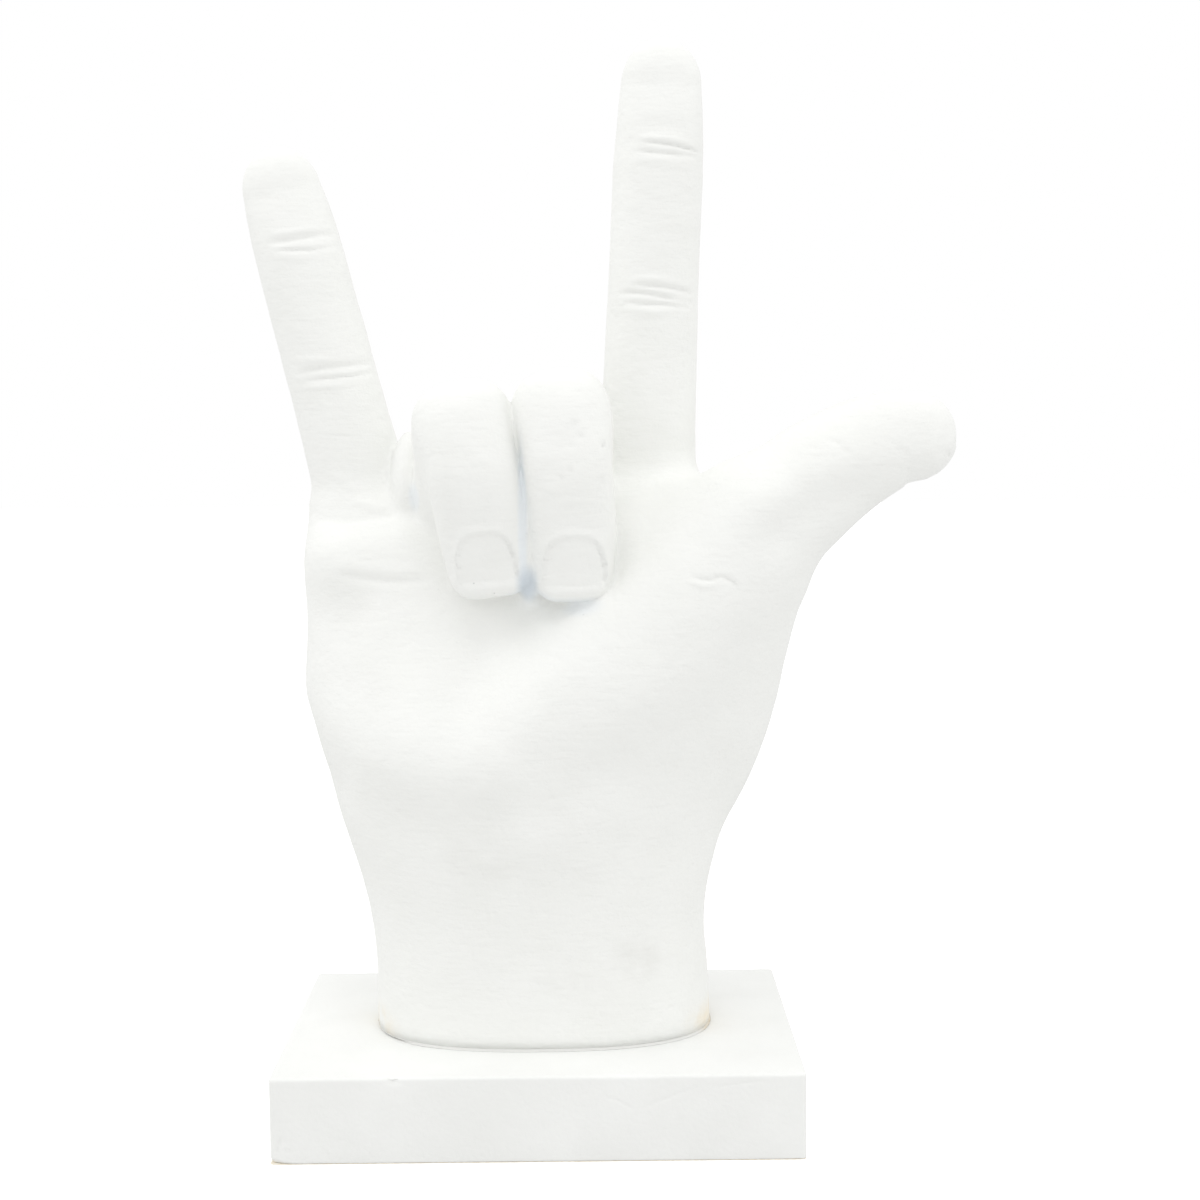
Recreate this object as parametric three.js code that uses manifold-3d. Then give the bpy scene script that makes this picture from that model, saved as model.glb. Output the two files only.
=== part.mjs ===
// A cast hand on a rectangular plinth: index and little finger up, thumb out, the two middle fingers folded.
// Millimetres, +Z up, +X towards the thumb, palm towards -Y. The origin is the middle of the underside.
import * as THREE from 'three';
import { mergeVertices } from 'three/addons/utils/BufferGeometryUtils.js';
import Module from 'manifold-3d';

const wasm = await Module();
wasm.setup();

// Plinth
const plinthWidth = 118;
const plinthDepth = 84;
const plinthHeight = 18.8;
const plinthCornerRadius = 2;
const plinthEdgeRound = 0.8;

// Felt under the plinth
const feltThickness = 0.4;
const feltInset = 0.6;
const feltCornerRadius = 2;

// Glue film between plinth and wrist
const glueThickness = 0.4;
const glueSetback = 0.6;

// Gap left at every face where two pieces meet
const seatGap = 0.1;
const boreGap = 0.3;

// Screws, washers and threaded inserts that hold the wrist down
const screwSpacing = 42;
const screwSetback = 1.5;
const shankDiameter = 4.8;
const shankReach = 9;
const headDiameter = 9.5;
const headHeight = 3.4;
const driveDiameter = 4.4;
const driveDepth = 1.8;
const washerDiameter = 12;
const washerThickness = 1;
const washerBore = 5.4;
const counterboreDiameter = 13;
const counterboreDepth = 7;
const plinthBore = 5.6;
const insertDiameter = 8;
const insertLength = 12;
const insertBore = 5.4;
const insertGroove = 0.5;
const feltHoleDiameter = 14;

// Wrist: the oval foot that stands on the glue film, set a little to the right of the plinth's middle
const wristWidth = 79;
const wristDepth = 51.4;
const wristOffset = 0.6;
const wristFront = -24.6;
const wristSquareness = 2.5;

// Palm, from the wrist's foot to the roots of the fingers
const knuckleHeight = 118;
const palmWidth = 88;
const palmOffset = -7;

// Fingers: each length runs from the root to the middle of the fingertip's round end
const indexLength = 104;
const indexWidth = 21.3;
const indexDepth = 20;
const littleLength = 83.4;
const littleWidth = 20.8;
const littleDepth = 19.2;
const fingerSquareness = 2.4;
const fingertipSquareness = 2.15;
const middleWidth = 20.8;
const ringWidth = 21.6;
const foldedDepth = 19.6;
const foldedSquareness = 3;
const thumbSquareness = 2.5;
const thumbWidth = 27.2;
const thumbDepth = 26;

// Nails and finger creases
const nailWidth = 12.4;
const nailLength = 10.6;
const nailRise = 1.1;
const nailRoot = 1.6;
const creaseDepth = 0.7;
const creaseWidth = 1.3;

// Spacing of the grid that the hand's surface is found on, finer at the folded fingers
const gridAcross = 4.6;
const gridAcrossFolded = 3.1;
const gridDeep = 3.5;
const gridUp = 6.6;
const gridUpFine = 3.5;

// Distances are exact up to here, and a limb is left out of the sum beyond it
const far = 20;

const plinthBottom = feltThickness + seatGap;
const plinthTop = plinthBottom + plinthHeight;
const glueBottom = plinthTop + seatGap;
const footHeight = glueBottom + glueThickness + seatGap;

// Two distances joined with a fillet of about k
function blend(a, b, k) {
  const h = Math.max(k - Math.abs(a - b), 0) / k;
  return Math.min(a, b) - h * h * k * 0.25;
}

// Cubic coefficients of the smooth curve through the stations, one set per span
function spans(stations) {
  const last = stations.length - 1;
  const at = (i) => {
    if (i < 0) return stations[0].map((v, c) => 2 * v - stations[1][c]);
    if (i > last) return stations[last].map((v, c) => 2 * v - stations[last - 1][c]);
    return stations[i];
  };
  return stations.slice(0, -1).map((_, i) => {
    const [a, b, c, d] = [at(i - 1), at(i), at(i + 1), at(i + 2)];
    return b.map((v, j) => [
      v,
      (c[j] - a[j]) / 2,
      a[j] - 2.5 * v + 2 * c[j] - d[j] / 2,
      (3 * v - a[j] - 3 * c[j] + d[j]) / 2,
    ]);
  });
}

const cubic = (c, t) => ((c[3] * t + c[2]) * t + c[1]) * t + c[0];
const cubicSlope = (c, t) => (3 * c[3] * t + 2 * c[2]) * t + c[1];
const cubicBend = (c, t) => 6 * c[3] * t + 2 * c[2];

// Distance from an oval with the given half axes: power squares its section, and capPower its ends
function ovalDistance(away, radii, power, capPower) {
  const [u, v, w] = away.map((value, i) => Math.abs(value) / radii[i]);
  const section = (u ** power + v ** power) ** (1 / power) + 1e-6;
  const size = (section ** capPower + w ** capPower) ** (1 / capPower);
  const slopes = [
    ((u / section) ** (power - 1) / radii[0]) * (section / size) ** (capPower - 1),
    ((v / section) ** (power - 1) / radii[1]) * (section / size) ** (capPower - 1),
    (w / size) ** (capPower - 1) / radii[2],
  ];
  return (size - 1) / (Math.hypot(...slopes) + 1e-6);
}

// Lowest and highest corner of the space that the stations reach
function reachOf(stations) {
  const corner = (pick, sign) => [0, 1, 2].map((i) => (
    pick(...stations.map((s) => s[i] + sign * Math.max(s[3], s[4])))
  ));
  return { low: corner(Math.min, -1), high: corner(Math.max, 1) };
}

// A limb: an oval profile carried along the curve through stations of x, y, z, half width, half depth.
// across is the direction that the profile's width is measured in, as nearly as the curve allows.
// power squares the profile, and capPower its two ends.
function limb(stations, across = [1, 0, 0], power = 2, capPower = power) {
  const coefficients = spans(stations);
  const count = coefficients.length;
  const reach = reachOf(stations);
  const low = reach.low.map((v) => v - far);
  const high = reach.high.map((v) => v + far);
  const chords = [];
  for (let i = 0; i < count * 2; i++) {
    const c = coefficients[i >> 1];
    const t = (i % 2) / 2;
    chords.push([[0, 1, 2].map((j) => cubic(c[j], t)), [0, 1, 2].map((j) => cubic(c[j], t + 0.5))]);
  }
  const distance = (x, y, z) => {
    if (x < low[0] || y < low[1] || z < low[2] || x > high[0] || y > high[1] || z > high[2]) return far;
    let place = 0;
    let closest = Infinity;
    chords.forEach(([a, b], i) => {
      const [dx, dy, dz] = [b[0] - a[0], b[1] - a[1], b[2] - a[2]];
      const [px, py, pz] = [x - a[0], y - a[1], z - a[2]];
      const t = Math.min(Math.max((px * dx + py * dy + pz * dz) / (dx * dx + dy * dy + dz * dz), 0), 1);
      const d = (px - t * dx) ** 2 + (py - t * dy) ** 2 + (pz - t * dz) ** 2;
      if (d < closest) {
        closest = d;
        place = (i + t) / 2;
      }
    });
    let span = 0;
    let t = 0;
    for (let turn = 0; turn < 3; turn++) {
      span = Math.min(Math.floor(place), count - 1);
      t = place - span;
      if (turn === 2) break;
      const c = coefficients[span];
      let along = 0;
      let speed = 0;
      let turning = 0;
      [x, y, z].forEach((value, j) => {
        const away = value - cubic(c[j], t);
        const slope = cubicSlope(c[j], t);
        along += away * slope;
        speed += slope * slope;
        turning += away * cubicBend(c[j], t);
      });
      place = Math.min(Math.max(place + along / Math.max(speed - turning, 0.3 * speed), 0), count);
    }
    const c = coefficients[span];
    const away = new THREE.Vector3(x - cubic(c[0], t), y - cubic(c[1], t), z - cubic(c[2], t));
    const axis = new THREE.Vector3(cubicSlope(c[0], t), cubicSlope(c[1], t), cubicSlope(c[2], t)).normalize();
    const deep = new THREE.Vector3().crossVectors(axis, new THREE.Vector3(...across)).normalize();
    const side = new THREE.Vector3().crossVectors(deep, axis);
    const halfWidth = cubic(c[3], t);
    const halfDepth = cubic(c[4], t);
    const radii = [halfWidth, halfDepth, Math.min(halfWidth, halfDepth)];
    return Math.min(ovalDistance([away.dot(side), away.dot(deep), away.dot(axis)], radii, power, capPower), far);
  };
  return Object.assign(distance, reach);
}

// A trunk of rounded sections stacked upwards; a row is height, left, right, front, back, squareness
function trunk(rows) {
  const heights = rows.map((row) => row[0]);
  const slopeAt = (i, c) => {
    const a = Math.max(i - 1, 0);
    const b = Math.min(i + 1, rows.length - 1);
    return (rows[b][c] - rows[a][c]) / (heights[b] - heights[a]);
  };
  const distance = (x, y, z) => {
    const height = Math.min(Math.max(z, heights[0]), heights[heights.length - 1]);
    let i = 0;
    while (i < rows.length - 2 && height > heights[i + 1]) i++;
    const step = heights[i + 1] - heights[i];
    const t = (height - heights[i]) / step;
    const [left, right, front, back, power] = [1, 2, 3, 4, 5].map((c) => {
      const rest = 1 - t;
      return rows[i][c] * (1 + 2 * t) * rest * rest + rows[i + 1][c] * t * t * (3 - 2 * t)
        + slopeAt(i, c) * step * t * rest * rest - slopeAt(i + 1, c) * step * t * t * rest;
    });
    const widest = (front + back) / 2 + 1;
    const halfWidth = (right - left) / 2;
    const halfDepth = y < widest ? widest - front : back - widest;
    const eu = Math.abs(x - (left + right) / 2) / halfWidth;
    const ev = Math.abs(y - widest) / halfDepth;
    const size = (eu ** power + ev ** power) ** (1 / power) + 1e-6;
    const steep = Math.hypot((eu / size) ** (power - 1) / halfWidth, (ev / size) ** (power - 1) / halfDepth);
    const d = (size - 1) / (steep + 1e-6);
    const over = Math.abs(z - height);
    return over > 0 ? Math.hypot(Math.max(d, 0), over) : d;
  };
  const column = (c, pick) => pick(...rows.map((row) => row[c]));
  return Object.assign(distance, {
    low: [column(1, Math.min), column(3, Math.min), heights[0]],
    high: [column(2, Math.max), column(4, Math.max), heights[heights.length - 1]],
  });
}

// A rounded lump
function lump(centre, radii) {
  const distance = (x, y, z) => {
    const [u, v, w] = [x - centre[0], y - centre[1], z - centre[2]];
    const size = Math.hypot(u / radii[0], v / radii[1], w / radii[2]) + 1e-6;
    const steep = Math.hypot(u / radii[0] ** 2, v / radii[1] ** 2, w / radii[2] ** 2) + 1e-6;
    return (size * (size - 1)) / steep;
  };
  return Object.assign(distance, reachOf([[...centre, ...radii.slice(0, 2)]]));
}

// Share of a straight finger's length, and how full it is there across and deep
const fingerTaper = [
  [0, 1.18, 1.1],
  [0.2, 1.06, 1.03],
  [0.4, 1.01, 1.01],
  [0.6, 0.99, 0.99],
  [0.8, 0.97, 0.93],
  [0.91, 0.94, 0.88],
  [1, 0.86, 0.78],
];

// Stations of a straight finger that leans from its root
function straightFinger({ root, lean, length, width, depth }) {
  const direction = new THREE.Vector3(...lean).normalize();
  return fingerTaper.map(([share, across, deep]) => {
    const at = new THREE.Vector3(...root).addScaledVector(direction, share * length);
    return [at.x, at.y, at.z, (width / 2) * across, (depth / 2) * deep];
  });
}

// A folded finger: its first bone rises forward from the knuckle, and the rest hangs down over the palm
function foldedFinger({ knuckle, bend, middle, last, tip, width }) {
  const half = width / 2;
  const deep = foldedDepth / 2;
  const rise = knuckle.map((v, i) => v + (bend[i] - v) * 0.55);
  const back = limb([
    [...knuckle, half * 1.12, deep * 1.2],
    [...rise, half * 1.03, deep * 1.06],
    [...bend, half * 0.98, deep * 1.01],
  ]);
  const front = limb([
    [...bend, half * 1.0, deep * 1.04],
    [...middle, half * 0.965, deep * 0.97],
    [...last, half * 0.94, deep * 0.88],
    [...tip, half * 0.9, deep * 0.82],
  ], [1, 0, 0], foldedSquareness);
  const distance = (x, y, z) => blend(back(x, y, z), front(x, y, z), foldedFillet);
  return Object.assign(distance, front);
}

const wristLeft = wristOffset - wristWidth / 2;
const wristRight = wristOffset + wristWidth / 2;
const wristBack = wristFront + wristDepth;
const palmLeft = palmOffset - palmWidth / 2;
const palmRight = palmOffset + palmWidth / 2;

const indexFinger = {
  root: [25.4, 6, knuckleHeight],
  lean: [4.5, -3.8, 103],
  length: indexLength,
  width: indexWidth,
  depth: indexDepth,
};
const littleFinger = {
  root: [-38.8, 6, knuckleHeight - 1],
  lean: [-19.5, -3.7, 80],
  length: littleLength,
  width: littleWidth,
  depth: littleDepth,
};
const middleFinger = {
  knuckle: [7, 3, knuckleHeight - 3],
  bend: [6.4, -21, knuckleHeight + 24.4],
  middle: [7.7, -23.5, knuckleHeight + 11],
  last: [8.4, -22.5, knuckleHeight],
  tip: [8.4, -21, knuckleHeight - 7.5],
  width: middleWidth,
};
const ringFinger = {
  knuckle: [-18, 3, knuckleHeight - 5],
  bend: [-15.2, -21, knuckleHeight + 22],
  middle: [-12.7, -23.5, knuckleHeight + 10],
  last: [-11.2, -22.5, knuckleHeight + 0.6],
  tip: [-10, -21, knuckleHeight - 6.5],
  width: ringWidth,
};

// The thumb's bones, from the wrist to the tip
function thumbStations() {
  const half = thumbWidth / 2;
  const deep = thumbDepth / 2;
  return [
    [24, 3, 36, half * 0.88, deep * 1.15],
    [31, 3, 52, half * 0.96, deep * 1.15],
    [38.2, 2, 66, half * 1.01, deep * 1.15],
    [42.2, 0, 81, half * 1.02, deep * 1.11],
    [43.8, -3, 92, half * 0.98, deep * 1.08],
    [46.7, -6, 104, half * 0.98, deep * 1.08],
    [52.4, -8.5, 116.3, half * 1.02, deep * 1.06],
    [61.5, -9.5, 126, half * 1.01, deep * 1.02],
    [71, -9.5, 132.7, half * 0.93, deep * 0.94],
    [80.5, -9, 137, half * 0.83, deep * 0.83],
    [87, -9, 138, half * 0.735, deep * 0.725],
  ];
}

// The flat flank between the ball of the thumb and the thumb's own bones, and the ridge above it
const flank = [
  [5, -10, 53, 17, 14],
  [15, -10.8, 65, 21, 15],
  [25.5, -11.5, 75, 22, 15.5],
  [34, -10.6, 84, 20, 14.4],
  [40, -9.7, 94, 16, 13.3],
  [45, -9, 105, 13, 12.5],
];
const thumbRidge = [
  [-6, -17.5, 68, 11, 13],
  [0, -17.2, 74.5, 13, 15],
  [7, -17.2, 80.5, 15, 15.5],
  [16, -17.2, 87, 16, 15.5],
  [25.5, -17.2, 94, 15.5, 15.3],
  [32.5, -17, 102, 14, 14.5],
  [40, -15.5, 112, 12.5, 13],
  [46, -13.5, 121, 11, 12],
];

// The heel of the palm under the little finger
const heel = [
  [-4, -16, 68, 13, 10],
  [-15, -16, 69, 15, 11],
  [-26, -13, 72, 16, 12.5],
  [-34, -7.2, 76.2, 14, 12.3],
  [-37.3, -0.5, 80.5, 13.6, 12.2],
];

// The row of pads at the roots of the fingers
const pads = [
  [-42, -1.5, 110.5, 9.5, 11],
  [-22, -2, 114, 10, 10.5],
  [5, -3.5, 116, 11, 10.5],
  [20, -6, 114.5, 11, 11],
  [31, -6, 116.5, 11, 11],
];

// Knuckles and tendons on the back of the hand
const knuckles = [
  [[27, 10, 118], [8.5, 7.5, 9]],
  [[6.5, 11.5, 119.5], [9, 8, 9]],
  [[-17.5, 10.5, 117.5], [8.5, 7.5, 8.5]],
  [[-38.5, 8.5, 113], [8, 7, 8]],
];
const tendons = [
  [[26.5, 13.5, 112], [18, 17, 88], [9, 18.5, 62]],
  [[6.5, 15, 112], [3, 18, 88], [2, 19, 62]],
  [[-17, 14, 110], [-12.5, 17, 86], [-5, 18.5, 62]],
];
const tendonHalfWidth = 4;

// Fillets at the bend of a folded finger, between the two folded fingers, and where they meet the palm
const foldedFillet = 4;
const foldedPairFillet = 1.5;
const foldedPalmFillet = 5;

// What closes the slits where the folded fingers press together, and where a fingertip rests on the palm:
// centre, half sizes, fillet
const pressed = [
  [[-3.6, -12, knuckleHeight + 6], [5.5, 10.5, 15], 2],
  [[-1, -16, knuckleHeight - 5], [4, 9.5, 12], 2],
  [[4, -18, knuckleHeight - 16], [12, 7.5, 9], 8],
  [[19, -15.5, knuckleHeight - 8], [5, 7, 8], 2],
];

// The whole hand, standing on z = 0 at the wrist's foot and running on below it to be cut flat
function handField() {
  const body = trunk([
    [-10, wristLeft, wristRight, wristFront, wristBack, wristSquareness],
    [2, wristLeft, wristRight, wristFront, wristBack, wristSquareness],
    [16, wristLeft - 0.2, wristRight - 0.6, wristFront, wristBack - 0.6, 2.5],
    [28, wristLeft - 1.4, wristRight - 1.8, wristFront - 0.6, wristBack - 1.2, 2.5],
    [38, wristLeft - 3.7, wristRight - 1.9, wristFront - 1.8, wristBack - 1.8, 2.45],
    [46, palmLeft + 6, palmRight + 1.6, -27.5, 24.3, 2.4],
    [53, palmLeft + 3.9, palmRight + 2.8, -28, 23.8, 2.35],
    [60, palmLeft + 2.2, palmRight + 4, -27, 23.4, 2.35],
    [71, palmLeft - 0.2, palmRight + 5, -24.5, 22.4, 2.3],
    [80, palmLeft - 2.2, palmRight + 5, -22.5, 21.7, 2.3],
    [90, palmLeft - 3, palmRight + 4.5, -21, 20.5, 2.3],
    [100, palmLeft - 2.9, palmRight + 3.5, -18.5, 19.2, 2.3],
    [112, palmLeft - 1.8, palmRight + 2, -14, 17, 2.3],
    [122, palmLeft - 0.6, palmRight + 0.5, -6.5, 14.5, 2.3],
  ]);
  // Each mass with the fillet that joins it to the ones before it
  const parts = [
    [limb(thumbStations(), [0.6, 0, -0.8], thumbSquareness, 2), 10],
    [limb(flank, [0.58, 0.6, -0.54], 2.8), 9],
    [limb(heel, [0, 0.52, 0.85], 2.4), 9],
    [limb(thumbRidge, [0.75, 0, -0.66]), 9],
    [limb(pads, [0, 0, 1]), 9],
    [limb(straightFinger(indexFinger), [1, 0, 0], fingerSquareness, fingertipSquareness), 7],
    [limb(straightFinger(littleFinger), [1, 0, 0], fingerSquareness, fingertipSquareness), 7],
  ];
  knuckles.forEach(([centre, radii]) => parts.push([lump(centre, radii), 7]));
  tendons.forEach((path) => {
    parts.push([limb(path.map((p) => [...p, tendonHalfWidth, tendonHalfWidth])), 6]);
  });
  pressed.forEach(([centre, radii, fillet]) => parts.push([lump(centre, radii), fillet]));
  const middle = foldedFinger(middleFinger);
  const ring = foldedFinger(ringFinger);
  const distance = (x, y, z) => {
    let d = body(x, y, z);
    for (const [part, fillet] of parts) d = blend(d, part(x, y, z), fillet);
    return blend(d, blend(middle(x, y, z), ring(x, y, z), foldedPairFillet), foldedPalmFillet);
  };
  const all = [body, middle, ring, ...parts.map(([part]) => part)];
  return Object.assign(distance, {
    low: [0, 1, 2].map((i) => Math.min(...all.map((part) => part.low[i]))),
    high: [0, 1, 2].map((i) => Math.max(...all.map((part) => part.high[i]))),
  });
}

// Grid lines from low to high, spaced as spacing says at each place
function gridLines(low, high, spacing) {
  const lines = [low];
  while (lines[lines.length - 1] < high) lines.push(lines[lines.length - 1] + spacing(lines[lines.length - 1]));
  return lines;
}

// Surface of a distance field: a vertex in every grid cell that the surface crosses, and a quad round every
// grid edge that it crosses
function surfaceOf(field, xs, ys, zs) {
  const [nx, ny, nz] = [xs.length, ys.length, zs.length];
  const node = (i, j, k) => (i * ny + j) * nz + k;
  const values = new Float32Array(nx * ny * nz);
  for (let i = 0; i < nx; i++) {
    for (let j = 0; j < ny; j++) {
      for (let k = 0; k < nz; k++) values[node(i, j, k)] = field(xs[i], ys[j], zs[k]);
    }
  }
  const steps = [node(1, 0, 0), node(0, 1, 0), node(0, 0, 1)];
  // Fill the corner of any grid face whose inside corners lie diagonally, so that no two sheets meet in a cell
  for (let filled = true; filled;) {
    filled = false;
    for (let i = 0; i < nx - 1; i++) {
      for (let j = 0; j < ny - 1; j++) {
        for (let k = 0; k < nz - 1; k++) {
          for (let a = 0; a < 3; a++) {
            const n = node(i, j, k);
            const [s, t] = [steps[a], steps[(a + 1) % 3]];
            const inside = [n, n + s, n + s + t, n + t].map((m) => values[m] < 0);
            if (inside[0] === inside[2] && inside[1] === inside[3] && inside[0] !== inside[1]) {
              values[inside[0] ? n + s : n] = -0.01;
              filled = true;
            }
          }
        }
      }
    }
  }
  const cellVertex = new Map();
  const vertices = [];
  const corners = [0, 1, 2, 3, 4, 5, 6, 7].map((c) => [c & 1, (c >> 1) & 1, c >> 2]);
  for (let i = 0; i < nx - 1; i++) {
    for (let j = 0; j < ny - 1; j++) {
      for (let k = 0; k < nz - 1; k++) {
        const sum = new THREE.Vector3();
        let crossings = 0;
        for (let a = 0; a < 8; a++) {
          for (let b = a + 1; b < 8; b++) {
            if (![1, 2, 4].includes(a ^ b)) continue;
            const [p, q] = [corners[a], corners[b]];
            const va = values[node(i + p[0], j + p[1], k + p[2])];
            const vb = values[node(i + q[0], j + q[1], k + q[2])];
            if (va < 0 === vb < 0) continue;
            const t = va / (va - vb);
            const start = new THREE.Vector3(xs[i + p[0]], ys[j + p[1]], zs[k + p[2]]);
            sum.add(start.lerp(new THREE.Vector3(xs[i + q[0]], ys[j + q[1]], zs[k + q[2]]), t));
            crossings++;
          }
        }
        if (crossings === 0) continue;
        cellVertex.set(node(i, j, k), vertices.length);
        vertices.push(sum.divideScalar(crossings));
      }
    }
  }
  const quads = [];
  for (let i = 1; i < nx - 1; i++) {
    for (let j = 1; j < ny - 1; j++) {
      for (let k = 1; k < nz - 1; k++) {
        for (let a = 0; a < 3; a++) {
          const n = node(i, j, k);
          const inside = values[n] < 0;
          if (inside === values[n + steps[a]] < 0) continue;
          const [s, t] = [steps[(a + 1) % 3], steps[(a + 2) % 3]];
          const ring = [n, n - s, n - s - t, n - t].map((m) => cellVertex.get(m));
          quads.push(inside ? ring : ring.reverse());
        }
      }
    }
  }
  return { vertices, quads };
}

// Move a point on to the surface of the field, along the field's slope
function settle(point, field) {
  const h = 0.05;
  for (let turn = 0; turn < 3; turn++) {
    const d = field(point.x, point.y, point.z);
    const slope = new THREE.Vector3(
      field(point.x + h, point.y, point.z) - d,
      field(point.x, point.y + h, point.z) - d,
      field(point.x, point.y, point.z + h) - d,
    ).divideScalar(h);
    point.addScaledVector(slope, -d / Math.max(slope.lengthSq(), 0.25));
  }
}

// Even out the vertices, keeping each on the surface
function relax({ vertices, quads }, field, rounds) {
  for (let round = 0; round < rounds; round++) {
    const sums = vertices.map(() => new THREE.Vector3());
    const counts = new Array(vertices.length).fill(0);
    quads.forEach((quad) => quad.forEach((v, i) => {
      const next = quad[(i + 1) % 4];
      sums[v].add(vertices[next]);
      sums[next].add(vertices[v]);
      counts[v]++;
      counts[next]++;
    }));
    vertices.forEach((point, i) => {
      point.lerp(sums[i].divideScalar(counts[i]), 0.5);
      settle(point, field);
    });
  }
}

// Solid from points and triangles, or from a closed three.js geometry
function solidFrom(vertProperties, triVerts) {
  return new wasm.Manifold(new wasm.Mesh({ numProp: 3, vertProperties, triVerts }));
}

function solidOf(geometry) {
  geometry.deleteAttribute('normal');
  geometry.deleteAttribute('uv');
  const merged = mergeVertices(geometry, 1e-4);
  return solidFrom(new Float32Array(merged.attributes.position.array), new Uint32Array(merged.index.array));
}

function geometryOf(solid) {
  const mesh = solid.getMesh();
  const geometry = new THREE.BufferGeometry();
  geometry.setAttribute('position', new THREE.BufferAttribute(new Float32Array(mesh.vertProperties), 3));
  geometry.setIndex(new THREE.BufferAttribute(new Uint32Array(mesh.triVerts), 1));
  geometry.computeVertexNormals();
  return geometry;
}

// The hand's surface on a graded grid, each quad split along its shorter diagonal
function handSolid(field) {
  const foldedLeft = ringFinger.knuckle[0] - ringWidth * 0.6;
  const foldedRight = middleFinger.tip[0] + middleWidth * 0.6;
  const across = (x) => (x > foldedLeft && x < foldedRight ? gridAcrossFolded : gridAcross);
  const up = (z) => {
    const folded = z > knuckleHeight - 20 && z < knuckleHeight + 34;
    const indexTip = z > knuckleHeight + indexLength - 16;
    const littleTip = z > knuckleHeight + littleLength - 12 && z < knuckleHeight + littleLength + 9;
    return folded || indexTip || littleTip ? gridUpFine : gridUp;
  };
  const surface = surfaceOf(
    field,
    gridLines(field.low[0] - 2 * gridAcross, field.high[0] + 2 * gridAcross, across),
    gridLines(field.low[1] - 2 * gridDeep, field.high[1] + 2 * gridDeep, () => gridDeep),
    gridLines(field.low[2] - 2 * gridUp, field.high[2] + 2 * gridUp, up),
  );
  relax(surface, field, 3);
  const { vertices, quads } = surface;
  const triangles = [];
  const diagonals = new Set();
  const edge = (a, b) => Math.min(a, b) * vertices.length + Math.max(a, b);
  quads.forEach(([a, b, c, d]) => {
    const shorter = vertices[a].distanceTo(vertices[c]) < vertices[b].distanceTo(vertices[d]);
    // No diagonal serves two quads
    const first = diagonals.has(edge(b, d)) || (shorter && !diagonals.has(edge(a, c)));
    diagonals.add(first ? edge(a, c) : edge(b, d));
    triangles.push(...(first ? [a, b, c, a, c, d] : [a, b, d, b, c, d]));
  });
  return solidFrom(new Float32Array(vertices.flatMap((p) => p.toArray())), new Uint32Array(triangles));
}

// First point of the surface met from start along direction
function castOnto(field, start, direction) {
  const point = start.clone();
  for (let turn = 0; turn < 80; turn++) {
    const d = field(point.x, point.y, point.z);
    if (Math.abs(d) < 0.005) break;
    point.addScaledVector(direction, d * 0.9);
  }
  return point;
}

// A nail: a thin curved plate that follows the fingertip under it, highest at its free edge
function nail(field, { above, facing, towardsTip, width, length }) {
  const count = 7;
  const clearOfSkin = 6;
  const cornerDrawIn = 0.34;
  const out = new THREE.Vector3(...facing).normalize();
  const side = new THREE.Vector3().crossVectors(new THREE.Vector3(...towardsTip), out).normalize();
  const down = new THREE.Vector3().crossVectors(out, side);
  const points = [];
  for (const level of [1, -1]) {
    for (let i = 0; i < count; i++) {
      for (let j = 0; j < count; j++) {
        const u = (2 * i) / (count - 1) - 1;
        const v = (2 * j) / (count - 1) - 1;
        const start = new THREE.Vector3(...above)
          .addScaledVector(side, (width / 2) * u * Math.sqrt(1 - cornerDrawIn * v * v))
          .addScaledVector(down, (length / 2) * v * Math.sqrt(1 - cornerDrawIn * u * u))
          .addScaledVector(out, clearOfSkin);
        const seat = castOnto(field, start, out.clone().negate());
        const rise = nailRise * (1 - 0.3 * u * u + 0.3 * Math.max(v, 0) - 0.3 * Math.max(-v, 0));
        points.push(seat.addScaledVector(out, level > 0 ? rise : -nailRoot));
      }
    }
  }
  const at = (level, i, j) => (level * count + i) * count + j;
  const triangles = [];
  const patch = (a, b, c, d) => triangles.push(a, b, c, a, c, d);
  for (let i = 0; i < count - 1; i++) {
    for (let j = 0; j < count - 1; j++) {
      patch(at(0, i, j), at(0, i + 1, j), at(0, i + 1, j + 1), at(0, i, j + 1));
      patch(at(1, i, j), at(1, i, j + 1), at(1, i + 1, j + 1), at(1, i + 1, j));
    }
    const end = count - 1;
    patch(at(0, i, 0), at(1, i, 0), at(1, i + 1, 0), at(0, i + 1, 0));
    patch(at(0, i + 1, end), at(1, i + 1, end), at(1, i, end), at(0, i, end));
    patch(at(0, 0, i + 1), at(1, 0, i + 1), at(1, 0, i), at(0, 0, i));
    patch(at(0, end, i), at(1, end, i), at(1, end, i + 1), at(0, end, i + 1));
  }
  return solidFrom(new Float32Array(points.flatMap((p) => p.toArray())), new Uint32Array(triangles));
}

// The tool that cuts one crease across the palm side of a straight finger: a sharp ring set back from the
// finger's axis, so that its edge bites only in front
function creaseTool({ root, lean, depth }, along, fullness) {
  const setBack = 2;
  const direction = new THREE.Vector3(...lean).normalize();
  const edge = (depth / 2) * fullness + setBack - creaseDepth;
  const thick = 3;
  const rise = (thick * creaseWidth) / (2 * creaseDepth);
  const profile = [
    new THREE.Vector2(edge, 0),
    new THREE.Vector2(edge + thick, -rise),
    new THREE.Vector2(edge + thick, rise),
    new THREE.Vector2(edge, 0),
  ];
  const ring = new THREE.LatheGeometry(profile, 20);
  ring.applyQuaternion(new THREE.Quaternion().setFromUnitVectors(new THREE.Vector3(0, 1, 0), direction));
  const centre = new THREE.Vector3(...root).addScaledVector(direction, along);
  ring.translate(centre.x, centre.y + setBack, centre.z);
  return solidOf(ring);
}

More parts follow.
